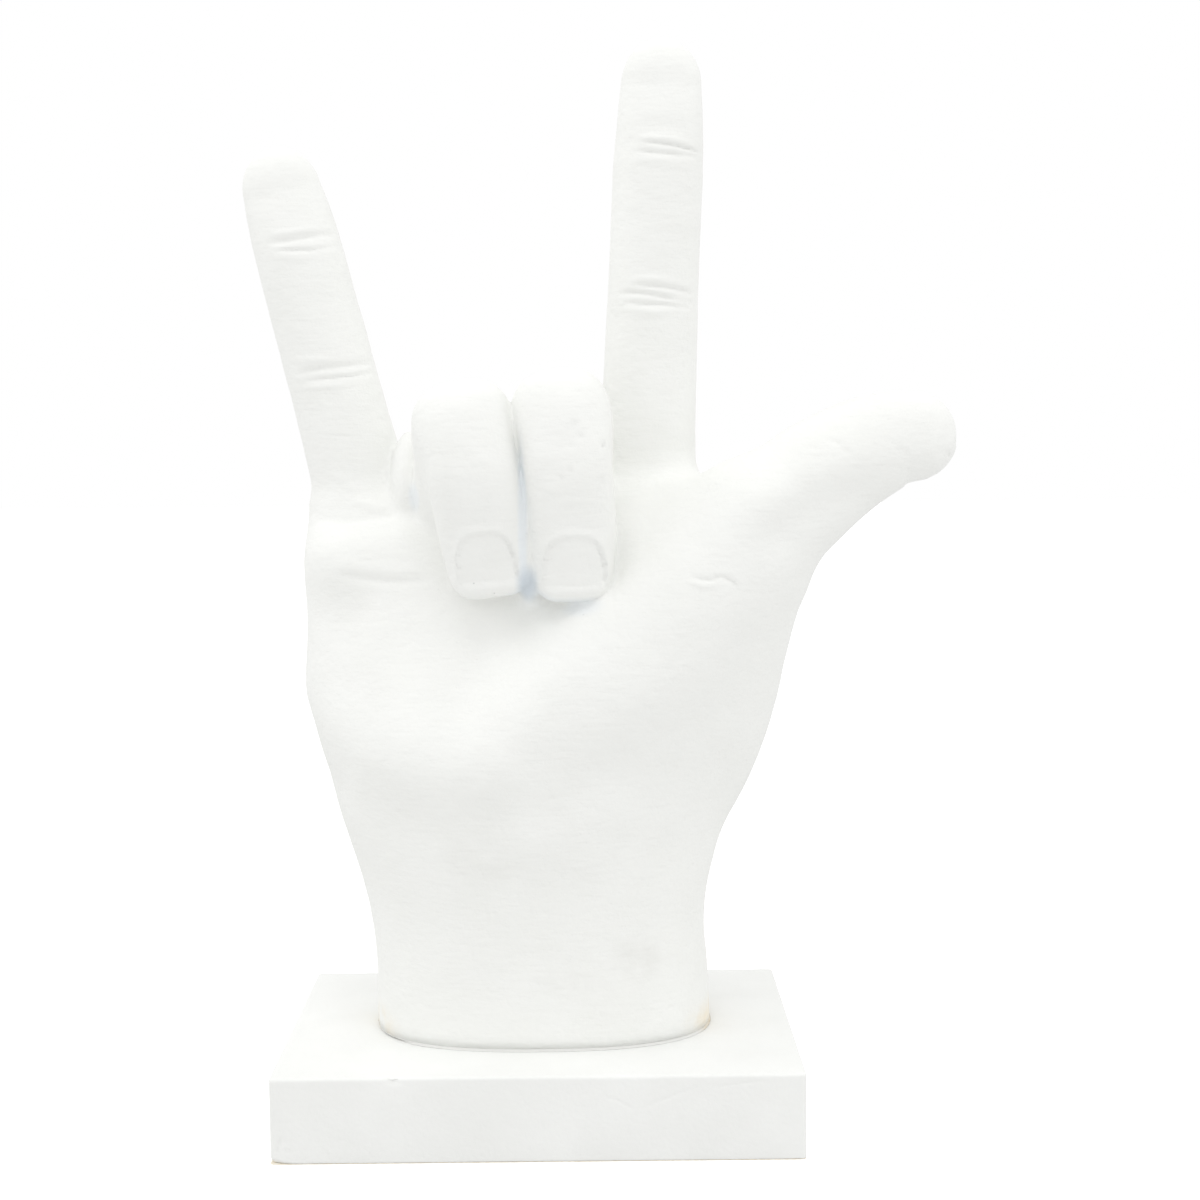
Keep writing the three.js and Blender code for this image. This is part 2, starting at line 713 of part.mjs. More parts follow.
// Upright cylinder between two heights
function upright(diameter, low, high, x, y, segments = 20) {
  const cylinder = new THREE.CylinderGeometry(diameter / 2, diameter / 2, high - low, segments);
  cylinder.rotateX(Math.PI / 2);
  cylinder.translate(x, y, (low + high) / 2);
  return cylinder;
}

const screwPlaces = [wristOffset - screwSpacing / 2, wristOffset + screwSpacing / 2];

function handCasting() {
  const field = handField();
  let hand = handSolid(field);
  const below = new THREE.BoxGeometry(4 * wristWidth, 4 * wristDepth, 40);
  below.translate(0, 0, -20);
  hand = hand.subtract(solidOf(below));
  const holeDepth = insertLength + seatGap + boreGap;
  for (const x of screwPlaces) {
    hand = hand.subtract(solidOf(upright(insertDiameter + 2 * boreGap, -1, holeDepth, x, screwSetback)));
  }
  const indexCreases = [[51.6, 1.0], [53.6, 1.0], [55.2, 1.0], [87.2, 0.915], [89.4, 0.905]];
  const littleCreases = [[36.2, 1.005], [38.4, 1.005], [66.8, 0.93], [69.6, 0.915]];
  indexCreases.forEach(([along, fullness]) => {
    hand = hand.subtract(creaseTool(indexFinger, along, fullness));
  });
  littleCreases.forEach(([along, fullness]) => {
    hand = hand.subtract(creaseTool(littleFinger, along, fullness));
  });
  const beside = (point, ...shift) => point.slice(0, 3).map((v, i) => v + shift[i]);
  const indexEnd = straightFinger(indexFinger).pop();
  const littleEnd = straightFinger(littleFinger).pop();
  const thumbEnd = thumbStations().pop();
  const nails = [
    { above: beside(middleFinger.tip, 0, -foldedDepth / 2, 1.4), facing: [0.05, -1, 0.12], towardsTip: [0.1, 0, -1] },
    { above: beside(ringFinger.tip, -0.5, -foldedDepth / 2, 1.2), facing: [-0.08, -1, 0.12], towardsTip: [0.14, 0, -1] },
    { above: beside(indexEnd, 0, indexDepth / 2, -2.6), facing: [0, 1, 0.12], towardsTip: [0.04, 0, 1] },
    { above: beside(littleEnd, 1, littleDepth / 2, -4), facing: [0, 1, 0.12], towardsTip: [-0.24, 0, 1] },
    { above: beside(thumbEnd, 1, thumbDepth / 3, -8), facing: [0.2, 0.62, -0.75], towardsTip: [1, 0, 0.15] },
  ];
  nails.forEach((place) => {
    hand = hand.add(nail(field, { width: nailWidth, length: nailLength, ...place }));
  });
  return geometryOf(hand);
}

// Rounded rectangle about the middle
function roundedRectangle(width, depth, radius) {
  const shape = new THREE.Shape();
  const [x, y] = [width / 2, depth / 2];
  shape.moveTo(-x + radius, -y);
  shape.lineTo(x - radius, -y);
  shape.absarc(x - radius, -y + radius, radius, -Math.PI / 2, 0);
  shape.lineTo(x, y - radius);
  shape.absarc(x - radius, y - radius, radius, 0, Math.PI / 2);
  shape.lineTo(-x + radius, y);
  shape.absarc(-x + radius, y - radius, radius, Math.PI / 2, Math.PI);
  shape.lineTo(-x, -y + radius);
  shape.absarc(-x + radius, -y + radius, radius, Math.PI, 1.5 * Math.PI);
  return shape;
}

function roundHole(x, y, diameter) {
  const hole = new THREE.Path();
  hole.absarc(x, y, diameter / 2, 0, 2 * Math.PI, true);
  return hole;
}

function plinth() {
  const round = plinthEdgeRound;
  const outline = roundedRectangle(plinthWidth - 2 * round, plinthDepth - 2 * round, plinthCornerRadius - round);
  const block = new THREE.ExtrudeGeometry(outline, {
    depth: plinthHeight - 2 * round,
    bevelThickness: round,
    bevelSize: round,
    bevelSegments: 3,
    curveSegments: 4,
  });
  block.translate(0, 0, plinthBottom + round);
  let solid = solidOf(block);
  for (const x of screwPlaces) {
    const recess = upright(counterboreDiameter, plinthBottom - 1, plinthBottom + counterboreDepth, x, screwSetback);
    const bore = upright(plinthBore, plinthBottom - 1, plinthTop + 1, x, screwSetback);
    solid = solid.subtract(solidOf(recess)).subtract(solidOf(bore));
  }
  return geometryOf(solid);
}

function felt() {
  const outline = roundedRectangle(plinthWidth - 2 * feltInset, plinthDepth - 2 * feltInset, feltCornerRadius);
  screwPlaces.forEach((x) => outline.holes.push(roundHole(x, screwSetback, feltHoleDiameter)));
  return new THREE.ExtrudeGeometry(outline, { depth: feltThickness, bevelEnabled: false, curveSegments: 8 });
}

// The wrist's outline drawn in by the glue film's setback
function glueFilm() {
  const outline = new THREE.Shape();
  const count = 56;
  const middle = (wristFront + wristBack) / 2 + 1;
  for (let i = 0; i < count; i++) {
    const angle = (2 * Math.PI * i) / count;
    const [c, s] = [Math.cos(angle), Math.sin(angle)];
    const rounded = (v) => Math.sign(v) * Math.abs(v) ** (2 / wristSquareness);
    const halfDepth = s < 0 ? middle - wristFront : wristBack - middle;
    const x = wristOffset + (wristWidth / 2 - glueSetback) * rounded(c);
    const y = middle + (halfDepth - glueSetback) * rounded(s);
    if (i === 0) outline.moveTo(x, y);
    else outline.lineTo(x, y);
  }
  screwPlaces.forEach((x) => outline.holes.push(roundHole(x, screwSetback, insertDiameter)));
  return new THREE.ExtrudeGeometry(outline, { depth: glueThickness, bevelEnabled: false });
}

// Turned piece from a closed outline of radius and height
function turned(points) {
  const profile = [...points, points[0]].map(([radius, height]) => new THREE.Vector2(radius, height));
  const geometry = new THREE.LatheGeometry(profile, 20);
  geometry.rotateX(Math.PI / 2);
  return geometry;
}

const washerTop = plinthBottom + counterboreDepth - seatGap;
const headTop = washerTop - washerThickness - seatGap;

// Pan-head screw with a hexagonal socket, its shank reaching up into the insert
function screw() {
  const head = headDiameter / 2;
  const shank = shankDiameter / 2;
  const tip = footHeight + shankReach;
  const body = new THREE.LatheGeometry([
    new THREE.Vector2(0, headTop - headHeight),
    new THREE.Vector2(head - 1, headTop - headHeight),
    new THREE.Vector2(head, headTop - headHeight + 1),
    new THREE.Vector2(head, headTop),
    new THREE.Vector2(shank, headTop),
    new THREE.Vector2(shank, tip - 0.8),
    new THREE.Vector2(shank - 0.8, tip),
    new THREE.Vector2(0, tip),
  ], 20);
  body.rotateX(Math.PI / 2);
  const socketTop = headTop - headHeight + driveDepth;
  const socket = upright(driveDiameter, headTop - headHeight - 1, socketTop, 0, 0, 6);
  return geometryOf(solidOf(body).subtract(solidOf(socket)));
}

function washer() {
  return turned([
    [washerBore / 2, washerTop - washerThickness],
    [washerDiameter / 2, washerTop - washerThickness],
    [washerDiameter / 2, washerTop],
    [washerBore / 2, washerTop],
  ]);
}

// Brass insert with two grooves that the casting grips
function insert() {
  const bottom = footHeight + seatGap;
  const [inner, outer] = [insertBore / 2, insertDiameter / 2];
  const step = insertLength / 5;
  return turned([
    [inner, bottom],
    [outer, bottom],
    [outer, bottom + step],
    [outer - insertGroove, bottom + step],
    [outer - insertGroove, bottom + 2 * step],
    [outer, bottom + 2 * step],
    [outer, bottom + 3 * step],
    [outer - insertGroove, bottom + 3 * step],
    [outer - insertGroove, bottom + 4 * step],
    [outer, bottom + 4 * step],
    [outer, bottom + insertLength],
    [inner, bottom + insertLength],
  ]);
}

const castWhite = new THREE.MeshStandardMaterial({ color: 0xeeefea, roughness: 0.82, metalness: 0 });
const plinthWhite = new THREE.MeshStandardMaterial({ color: 0xecede8, roughness: 0.8, metalness: 0 });
const amberGlue = new THREE.MeshStandardMaterial({ color: 0xa8743a, roughness: 0.45, metalness: 0 });
const tanFelt = new THREE.MeshStandardMaterial({ color: 0xd0b592, roughness: 0.95, metalness: 0 });
const zincSteel = new THREE.MeshStandardMaterial({ color: 0xb9bcc0, roughness: 0.35, metalness: 1 });
const brass = new THREE.MeshStandardMaterial({ color: 0xc4a04e, roughness: 0.3, metalness: 1 });

function piece(name, geometry, material, x = 0, y = 0, z = 0) {
  const mesh = new THREE.Mesh(geometry, material);
  mesh.name = name;
  mesh.position.set(x, y, z);
  return mesh;
}

const sculpture = new THREE.Group();
sculpture.add(piece('hand_casting', handCasting(), castWhite, 0, 0, footHeight));
sculpture.add(piece('glue_film', glueFilm(), amberGlue, 0, 0, glueBottom));
sculpture.add(piece('plinth', plinth(), plinthWhite));
sculpture.add(piece('base_felt', felt(), tanFelt));
screwPlaces.forEach((x, i) => {
  const side = ['left', 'right'][i];
  sculpture.add(piece(`fixing_screw_${side}`, screw(), zincSteel, x, screwSetback));
  sculpture.add(piece(`washer_${side}`, washer(), zincSteel, x, screwSetback));
  sculpture.add(piece(`threaded_insert_${side}`, insert(), brass, x, screwSetback));
});

export default sculpture;
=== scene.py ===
"""A cast hand on a plinth: the finished pieces, their materials, the studio and the camera.

The frame is the CAD's, in metres. Shapes are worked out in millimetres and scaled where a mesh is made. The
hand's own shape is worked out standing on z = 0, and is lifted on to the plinth with the CAD node's box.
"""

import bmesh
import bpy
import numpy as np
from mathutils import Matrix, Vector


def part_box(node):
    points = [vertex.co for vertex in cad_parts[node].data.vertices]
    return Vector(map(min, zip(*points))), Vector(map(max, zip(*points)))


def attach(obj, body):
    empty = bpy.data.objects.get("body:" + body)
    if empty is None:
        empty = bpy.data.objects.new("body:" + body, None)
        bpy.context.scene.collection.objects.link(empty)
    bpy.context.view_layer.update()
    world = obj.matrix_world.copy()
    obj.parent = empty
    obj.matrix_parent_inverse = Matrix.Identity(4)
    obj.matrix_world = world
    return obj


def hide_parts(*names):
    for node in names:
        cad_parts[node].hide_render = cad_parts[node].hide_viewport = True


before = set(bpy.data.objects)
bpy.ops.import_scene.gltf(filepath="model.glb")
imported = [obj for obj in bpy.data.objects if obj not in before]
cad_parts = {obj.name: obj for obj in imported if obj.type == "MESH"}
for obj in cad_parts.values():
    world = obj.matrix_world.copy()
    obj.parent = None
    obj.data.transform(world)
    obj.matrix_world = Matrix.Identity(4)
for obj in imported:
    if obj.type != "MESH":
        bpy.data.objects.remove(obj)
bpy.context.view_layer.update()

MM = 0.001

# Camera, in metres, radians and the picture's own pixels
PICTURE = 1200
SENSOR_MM = 36.0
LENS_MM = 60.508
EYE = (0.011824, -0.471476, 0.164821)
YAW = 0.0061813
PITCH = 0.0947462
ROLL = -0.0081588

# The hand, in millimetres. Beyond FAR a limb's distance isn't worked out. The mesh stays SKIN inside its box.
FAR = 20.0
SKIN = 0.02
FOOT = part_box("hand_casting")[0][2] / MM
WRIST_LEFT, WRIST_RIGHT, WRIST_FRONT, WRIST_BACK = -38.9, 40.1, -24.6, 26.8
WRIST_SQUARENESS = 2.5
PALM_LEFT, PALM_RIGHT = -51.0, 37.0
FINGER_SQUARENESS = 2.4
FOLDED_DEPTH = 19.6
# How full a folded finger is across and deep at its knuckle, on its rise and at its bend, then how deep it
# is at its bend, middle, last joint and tip, and how full across at the middle
FOLDED_BACK = ((1.12, 1.2), (1.03, 1.06), (0.98, 1.01))
FOLDED_FRONT_DEEP = (1.04, 0.97, 0.88, 0.82)
FOLDED_MIDDLE_ACROSS = 0.965
THUMB_WIDTH, THUMB_DEPTH = 27.2, 26.0
THUMB_ACROSS = (0.6, 0, -0.8)
THUMB_SQUARENESS = 2.5
INDEX = dict(root=(25.4, 6, 118), lean=(4.5, -3.8, 103), length=101.3, width=21.3, depth=20)
LITTLE = dict(root=(-38.8, 6, 117), lean=(-19.5, -3.7, 80), length=81, width=20.8, depth=19.2)
MIDDLE = dict(
    knuckle=(7, 3, 115),
    bend=(6.4, -21, 142.4),
    middle=(7.5, -23.7, 132),
    last=(8.4, -21.8, 118),
    tip=(8.4, -20.2, 110.5),
    width=20.8,
    tip_width=18.8,
)
RING = dict(
    knuckle=(-18, 3, 113),
    bend=(-15.2, -21, 140),
    middle=(-13.2, -23.7, 131),
    last=(-10.9, -21.6, 118.6),
    tip=(-9.5, -20, 111.5),
    width=21.6,
    tip_width=20.5,
)
# Share of a straight finger's length, and how full it is there across and deep
FINGER_TAPER = (
    (0, 1.18, 1.10),
    (0.2, 1.06, 1.03),
    (0.4, 1.01, 1.01),
    (0.6, 0.99, 0.99),
    (0.82, 0.97, 0.93),
    (0.92, 0.93, 0.80),
    (1, 0.87, 0.62),
)
FINGERTIP_DOME = 1.65
# Height, left, right, front, back and squareness of each section from the wrist's foot to the finger roots
TRUNK = (
    (-10, WRIST_LEFT, WRIST_RIGHT, WRIST_FRONT, WRIST_BACK, WRIST_SQUARENESS),
    (2, WRIST_LEFT, WRIST_RIGHT, WRIST_FRONT, WRIST_BACK, WRIST_SQUARENESS),
    (16, WRIST_LEFT - 0.2, WRIST_RIGHT - 0.6, WRIST_FRONT, WRIST_BACK - 0.6, 2.5),
    (28, WRIST_LEFT - 1.4, WRIST_RIGHT - 1.8, WRIST_FRONT - 0.6, WRIST_BACK - 1.2, 2.5),
    (38, WRIST_LEFT - 3.7, WRIST_RIGHT - 1.9, WRIST_FRONT - 1.8, WRIST_BACK - 1.8, 2.45),
    (46, PALM_LEFT + 6, PALM_RIGHT + 1.6, -27.5, 24.3, 2.4),
    (53, PALM_LEFT + 3.9, PALM_RIGHT + 2.8, -28, 23.8, 2.35),
    (60, PALM_LEFT + 2.2, PALM_RIGHT + 4, -27, 23.4, 2.35),
    (71, PALM_LEFT - 0.2, PALM_RIGHT + 5, -24.5, 22.4, 2.3),
    (80, PALM_LEFT - 2.2, PALM_RIGHT + 5, -22.5, 21.7, 2.3),
    (90, PALM_LEFT - 3.0, PALM_RIGHT + 4.5, -21, 20.5, 2.3),
    (100, PALM_LEFT - 2.9, PALM_RIGHT + 3.5, -18.5, 19.2, 2.3),
    (112, PALM_LEFT - 1.8, PALM_RIGHT + 2, -14, 17, 2.3),
    (122, PALM_LEFT - 0.6, PALM_RIGHT + 0.5, -6.5, 14.5, 2.3),
)
# x, y, z and the fullness across and deep along the thumb, from the wrist to its tip
THUMB = (
    (24, 3, 36, 0.88, 1.15),
    (31, 3, 52, 0.96, 1.15),
    (38.2, 2, 66, 1.01, 1.15),
    (42.2, 0, 81, 1.02, 1.11),
    (43.8, -3, 92, 0.98, 1.08),
    (46.7, -6, 104, 0.98, 1.08),
    (52.4, -8.5, 116.3, 1.02, 1.06),
    (61.5, -9.5, 126, 1.01, 1.02),
    (71, -9.5, 132.7, 0.93, 0.94),
    (80.5, -9, 137, 0.83, 0.83),
    (87, -9, 138, 0.735, 0.725),
)
# x, y, z, half width and half depth of the masses of the palm
FLANK = (
    (5, -10, 53, 17, 14),
    (15, -10.8, 65, 21, 15),
    (25.5, -11.5, 75, 22, 15.5),
    (34, -10.6, 84, 20, 14.4),
    (40, -9.7, 94, 16, 13.3),
    (45, -9, 105, 13, 12.5),
)
THUMB_RIDGE = (
    (-6, -17.5, 68, 11, 13),
    (0, -17.2, 74.5, 13, 15),
    (7, -17.2, 80.5, 15, 15.5),
    (16, -17.2, 87, 16, 15.5),
    (25.5, -17.2, 94, 15.5, 15.3),
    (32.5, -17, 102, 14, 14.5),
    (40, -15.5, 112, 12.5, 13),
    (46, -13.5, 121, 11, 12),
)
HEEL = (
    (-4, -16, 68, 13, 10),
    (-15, -16, 69, 15, 11),
    (-26, -13, 72, 16, 12.5),
    (-34, -7.2, 76.2, 14, 12.3),
    (-37.3, -0.5, 80.5, 13.6, 12.2),
)
PADS = (
    (-42, -1.5, 110.5, 9.5, 11),
    (-22, -2, 114, 10, 10.5),
    (5, -3.5, 116, 11, 10.5),
    (20, -6, 114.5, 11, 11),
    (31, -6, 116.5, 11, 11),
)
# The masses of the palm, each with the way across it and how square it is
PALM = (
    (FLANK, (0.58, 0.6, -0.54), 2.8),
    (HEEL, (0, 0.52, 0.85), 2.4),
    (THUMB_RIDGE, (0.75, 0, -0.66), 2),
    (PADS, (0, 0, 1), 2),
)
KNUCKLES = (
    ((27, 10, 118), (8.5, 7.5, 9)),
    ((6.5, 11.5, 119.5), (9, 8, 9)),
    ((-17.5, 10.5, 117.5), (8.5, 7.5, 8.5)),
    ((-38.5, 8.5, 113), (8, 7, 8)),
)
TENDONS = (
    ((26.5, 13.5, 112), (18, 17, 88), (9, 18.5, 62)),
    ((6.5, 15, 112), (3, 18, 88), (2, 19, 62)),
    ((-17, 14, 110), (-12.5, 17, 86), (-5, 18.5, 62)),
)
TENDON_HALF_WIDTH = 4
# Fillets where the masses meet
THUMB_FILLET = 10
PALM_FILLET = 9
FINGER_FILLET = 7
TENDON_FILLET = 6
WEB_FILLET = 2
FOLD_FILLET = 1.5
BEND_FILLET = 4
# Skin between the folded fingers, and between the little and the ring finger
WEBS = (
    ((-3.4, -14.6, 124), (5.5, 10.5, 15)),
    ((-1, -17, 113), (4, 7.5, 12)),
    ((-29.2, -2, 127), (4.6, 9, 13)),
)

# Grid of the hand's surface: where it starts, and its bands, each the place that it ends at and its spacing
GRID_START = (-74.0, -41.0, -6.0)
GRID_ACROSS = ((-28, 1.15), (21, 0.62), (100, 1.15))
GRID_DEEP = ((34, 1.15),)
GRID_UP = (
    (96, 1.7), (122, 0.55), (148, 0.9), (158, 0.4), (166, 1.2), (177, 0.45),
    (181, 0.8), (190, 0.42), (200, 1.2), (210, 0.42), (238, 1.1),
)
BLOCK = 4

# Studio: how bright the surroundings are, the floor's white, its glow for the camera, and its half size
SKY_LEVEL = 1.02
FLOOR_WHITE = 0.76
FLOOR_LIFT = 0.6
FLOOR_HALF = 3000.0
LAMP_TARGET = (0.0, 0.0, 0.12)
# Name, place, width, depth, and how bright each lamp alone makes a white face turned to it
LAMPS = (
    ("front lamp", (-0.10, -0.55, 1.60), 0.8, 0.6, 0.14),
    ("left lamp", (-1.15, 0.10, 1.15), 0.4, 0.4, 0.07),
    ("right lamp", (1.20, -0.30, 0.70), 0.5, 0.6, 0.045),
)


def camera_axes():
    """The camera's right, up and forward directions, each a unit row."""
    forward = np.array([np.sin(YAW) * np.cos(PITCH), np.cos(YAW) * np.cos(PITCH), -np.sin(PITCH)])
    level = np.array([np.cos(YAW), -np.sin(YAW), 0])
    up = np.cross(level, forward)
    turned = np.cos(ROLL) * level + np.sin(ROLL) * up
    return turned, np.cos(ROLL) * up - np.sin(ROLL) * level, forward


def blend(a, b, k):
    """Two distances joined with a fillet of about k."""
    h = np.maximum(k - np.abs(a - b), 0) / k
    return np.minimum(a, b) - h * h * k * 0.25


def spans(stations):
    """Cubic coefficients of the smooth curve through the stations, one set of four per span."""
    s = np.asarray(stations, float)
    padded = np.vstack([2 * s[0] - s[1], s, 2 * s[-1] - s[-2]])
    a, b, c, d = padded[:-3], padded[1:-2], padded[2:-1], padded[3:]
    return np.stack([b, (c - a) / 2, a - 2.5 * b + 2 * c - d / 2, (3 * b - a - 3 * c + d) / 2], 1)


def limb(points, stations, across=(1, 0, 0), power=2.0, cap=None, dome=1.0):
    """Distance to an oval profile carried along the curve through the stations.

    A station is x, y, z, half width and half depth. The nearest place on the curve is found from its chords
    and then by Newton's rule. With u and v across and deep from there and w past the end, the distance is
    (size - 1) / slope. The section is the power mean of u / width and v / depth, and size is the cap's power
    mean of the section and w / the smaller of the two, times dome. A cap's power of 2 is a dome, and more is
    squarer.
    """
    curve = spans(stations)
    count = len(curve)
    s = np.asarray(stations, float)
    reach = s[:, 3:5].max() + FAR
    near = np.all((points > s[:, :3].min(0) - reach) & (points < s[:, :3].max(0) + reach), axis=1)
    q = points[near]
    place = np.zeros(len(q))
    closest = np.full(len(q), np.inf)
    for k in range(count * 2):
        t = (k % 2) / 2
        c = curve[k // 2, :, :3]
        start = ((c[3] * t + c[2]) * t + c[1]) * t + c[0]
        t += 0.5
        chord = ((c[3] * t + c[2]) * t + c[1]) * t + c[0] - start
        away = q - start
        share = np.clip(away @ chord / (chord @ chord), 0, 1)
        gap = ((away - share[:, None] * chord) ** 2).sum(1)
        nearer = gap < closest
        closest = np.where(nearer, gap, closest)
        place = np.where(nearer, (k + share) / 2, place)
    for turn in range(3):
        span = np.minimum(place.astype(int), count - 1)
        t = (place - span)[:, None]
        c = curve[span]
        here = ((c[:, 3] * t + c[:, 2]) * t + c[:, 1]) * t + c[:, 0]
        slope = (3 * c[:, 3, :3] * t + 2 * c[:, 2, :3]) * t + c[:, 1, :3]
        away = q - here[:, :3]
        if turn < 2:
            turning = (away * (6 * c[:, 3, :3] * t + 2 * c[:, 2, :3])).sum(1)
            speed = (slope**2).sum(1)
            onward = (away * slope).sum(1) / np.maximum(speed - turning, 0.3 * speed)
            place = np.clip(place + onward, 0, count)
    axis = slope / np.linalg.norm(slope, axis=1, keepdims=True)
    deep = np.cross(axis, across)
    deep /= np.linalg.norm(deep, axis=1, keepdims=True)
    side = np.cross(deep, axis)
    radii = (here[:, 3], here[:, 4], dome * np.minimum(here[:, 3], here[:, 4]))
    u, v, w = [np.abs((away * way).sum(1)) / radius for way, radius in zip((side, deep, axis), radii)]
    cap = cap or power
    section = (u**power + v**power) ** (1 / power) + 1e-6
    size = (section**cap + w**cap) ** (1 / cap)
    sides = [(part / section) ** (power - 1) / radius for part, radius in zip((u, v), radii)]
    steep = sides[0] ** 2 + sides[1] ** 2
    steep = steep * (section / size) ** (2 * cap - 2) + ((w / size) ** (cap - 1) / radii[2]) ** 2
    out = np.full(len(points), FAR)
    out[near] = np.minimum((size - 1) / (np.sqrt(steep) + 1e-6), FAR)
    return out


def trunk(points, rows):
    """Distance to rounded sections stacked upwards, each value eased from row to row."""
    r = np.asarray(rows, float)
    z = np.clip(points[:, 2], r[0, 0], r[-1, 0])
    i = np.clip(np.searchsorted(r[:, 0], z) - 1, 0, len(r) - 2)
    step = r[i + 1, 0] - r[i, 0]
    t = (z - r[i, 0]) / step
    ends = np.clip(np.arange(len(r))[:, None] + (-1, 1), 0, len(r) - 1)
    slopes = (r[ends[:, 1]] - r[ends[:, 0]]) / (r[ends[:, 1], :1] - r[ends[:, 0], :1])
    rest = 1 - t
    weights = ((1 + 2 * t) * rest**2, t * t * (3 - 2 * t), step * t * rest**2, -step * t * t * rest)
    parts = (r[i, 1:], r[i + 1, 1:], slopes[i, 1:], slopes[i + 1, 1:])
    eased_rows = sum(weight[:, None] * part for weight, part in zip(weights, parts))
    left, right, front, back, power = eased_rows.T
    widest = (front + back) / 2 + 1
    half_width = (right - left) / 2
    half_depth = np.where(points[:, 1] < widest, widest - front, back - widest)
    u = np.abs(points[:, 0] - (left + right) / 2) / half_width
    v = np.abs(points[:, 1] - widest) / half_depth
    size = (u**power + v**power) ** (1 / power) + 1e-6
    steep = np.hypot((u / size) ** (power - 1) / half_width, (v / size) ** (power - 1) / half_depth)
    d = (size - 1) / (steep + 1e-6)
    over = np.abs(points[:, 2] - z)
    return np.where(over > 0, np.hypot(np.maximum(d, 0), over), d)


def lump(points, centre, radii):
    """Distance to an egg-shaped lump."""
    q = points - np.asarray(centre, float)
    r = np.asarray(radii, float)
    size = np.sqrt(((q / r) ** 2).sum(1)) + 1e-6
    return size * (size - 1) / (np.sqrt(((q / r**2) ** 2).sum(1)) + 1e-6)


def straight_finger(root, lean, length, width, depth):
    """Stations of a straight finger that leans from its root."""
    way = np.asarray(lean, float) / np.linalg.norm(lean)
    return [
        (*(np.asarray(root) + way * share * length), width / 2 * across, depth / 2 * deep)
        for share, across, deep in FINGER_TAPER
    ]


def folded_finger(points, knuckle, bend, middle, last, tip, width, tip_width):
    """Distance to a finger whose first bone rises forward from the knuckle and whose rest hangs down."""
    half, deep = width / 2, FOLDED_DEPTH / 2
    rise = np.asarray(knuckle) + (np.asarray(bend) - knuckle) * 0.55
    back = [(*at, half * a, deep * b) for at, (a, b) in zip((knuckle, rise, bend), FOLDED_BACK)]
    halves = (half, half * FOLDED_MIDDLE_ACROSS, (width + tip_width) / 4, tip_width / 2)
    front = [(*at, a, deep * b) for at, a, b in zip((bend, middle, last, tip), halves, FOLDED_FRONT_DEEP)]
    return blend(limb(points, back), limb(points, front, power=3, cap=3), BEND_FILLET)


def hand_form(points):
    """Distance to the whole hand, as it stands on z = 0 and runs on below it."""
    p = np.asarray(points, float)
    thumb = [(x, y, z, THUMB_WIDTH / 2 * a, THUMB_DEPTH / 2 * b) for x, y, z, a, b in THUMB]
    d = trunk(p, TRUNK)
    d = blend(d, limb(p, thumb, THUMB_ACROSS, THUMB_SQUARENESS, cap=2), THUMB_FILLET)
    for stations, across, squareness in PALM:
        d = blend(d, limb(p, stations, across, squareness), PALM_FILLET)
    for sizes in (INDEX, LITTLE):
        stations = straight_finger(**sizes)
        finger = limb(p, stations, power=FINGER_SQUARENESS, cap=2, dome=FINGERTIP_DOME)
        d = blend(d, finger, FINGER_FILLET)
    for centre, radii in KNUCKLES:
        d = blend(d, lump(p, centre, radii), FINGER_FILLET)
    for path in TENDONS:
        cord = [(*at, TENDON_HALF_WIDTH, TENDON_HALF_WIDTH) for at in path]
        d = blend(d, limb(p, cord), TENDON_FILLET)
    for centre, radii in WEBS:
        d = blend(d, lump(p, centre, radii), WEB_FILLET)
    return blend(d, blend(folded_finger(p, **MIDDLE), folded_finger(p, **RING), 1), FOLD_FILLET)


def grid_lines(bands, low):
    """Grid lines upwards from low; a band is the place that it ends at and the spacing in it.

    The count is one more than a multiple of BLOCK, so that the lines fall into whole blocks.
    """
    lines = [low]
    for end, spacing in bands:
        while lines[-1] < end:
            lines.append(lines[-1] + spacing)
    while len(lines) % BLOCK != 1:
        lines.append(lines[-1] + bands[-1][1])
    return np.array(lines)


def sample_grid(field, lines):
    """The field at every grid point near the surface, and only its sign elsewhere.

    Every BLOCK-th line is sampled first. A block is sampled in full where a corner of it lies closer to the
    surface than the block is long.
    """
    coarse_lines = [line[::BLOCK] for line in lines]
    coarse = field(np.stack(np.meshgrid(*coarse_lines, indexing="ij"), -1).reshape(-1, 3))
    coarse = coarse.reshape([len(line) for line in coarse_lines])
    sizes = [np.diff(line) for line in coarse_lines]
    wide, deep, tall = np.meshgrid(*sizes, indexing="ij", sparse=True)
    length = np.sqrt(wide**2 + deep**2 + tall**2)
    nearest = np.full(length.shape, np.inf)
    for i, j, k in np.ndindex(2, 2, 2):
        corner = coarse[i:, j:, k:][: length.shape[0], : length.shape[1], : length.shape[2]]
        nearest = np.minimum(nearest, np.abs(corner))
    busy = nearest < length * 1.05
    counts = [len(line) for line in lines]
    wanted = np.zeros(counts, bool)
    for i, j, k in np.argwhere(busy) * BLOCK:
        wanted[i : i + BLOCK + 1, j : j + BLOCK + 1, k : k + BLOCK + 1] = True
    nearest_coarse = [(np.arange(count) + BLOCK // 2) // BLOCK for count in counts]
    values = coarse[np.ix_(*nearest_coarse)]
    at = np.argwhere(wanted)
    for start in range(0, len(at), 200000):
        part = at[start : start + 200000]
        spots = np.stack([line[part[:, axis]] for axis, line in enumerate(lines)], 1)
        values[tuple(part.T)] = field(spots)
    return values


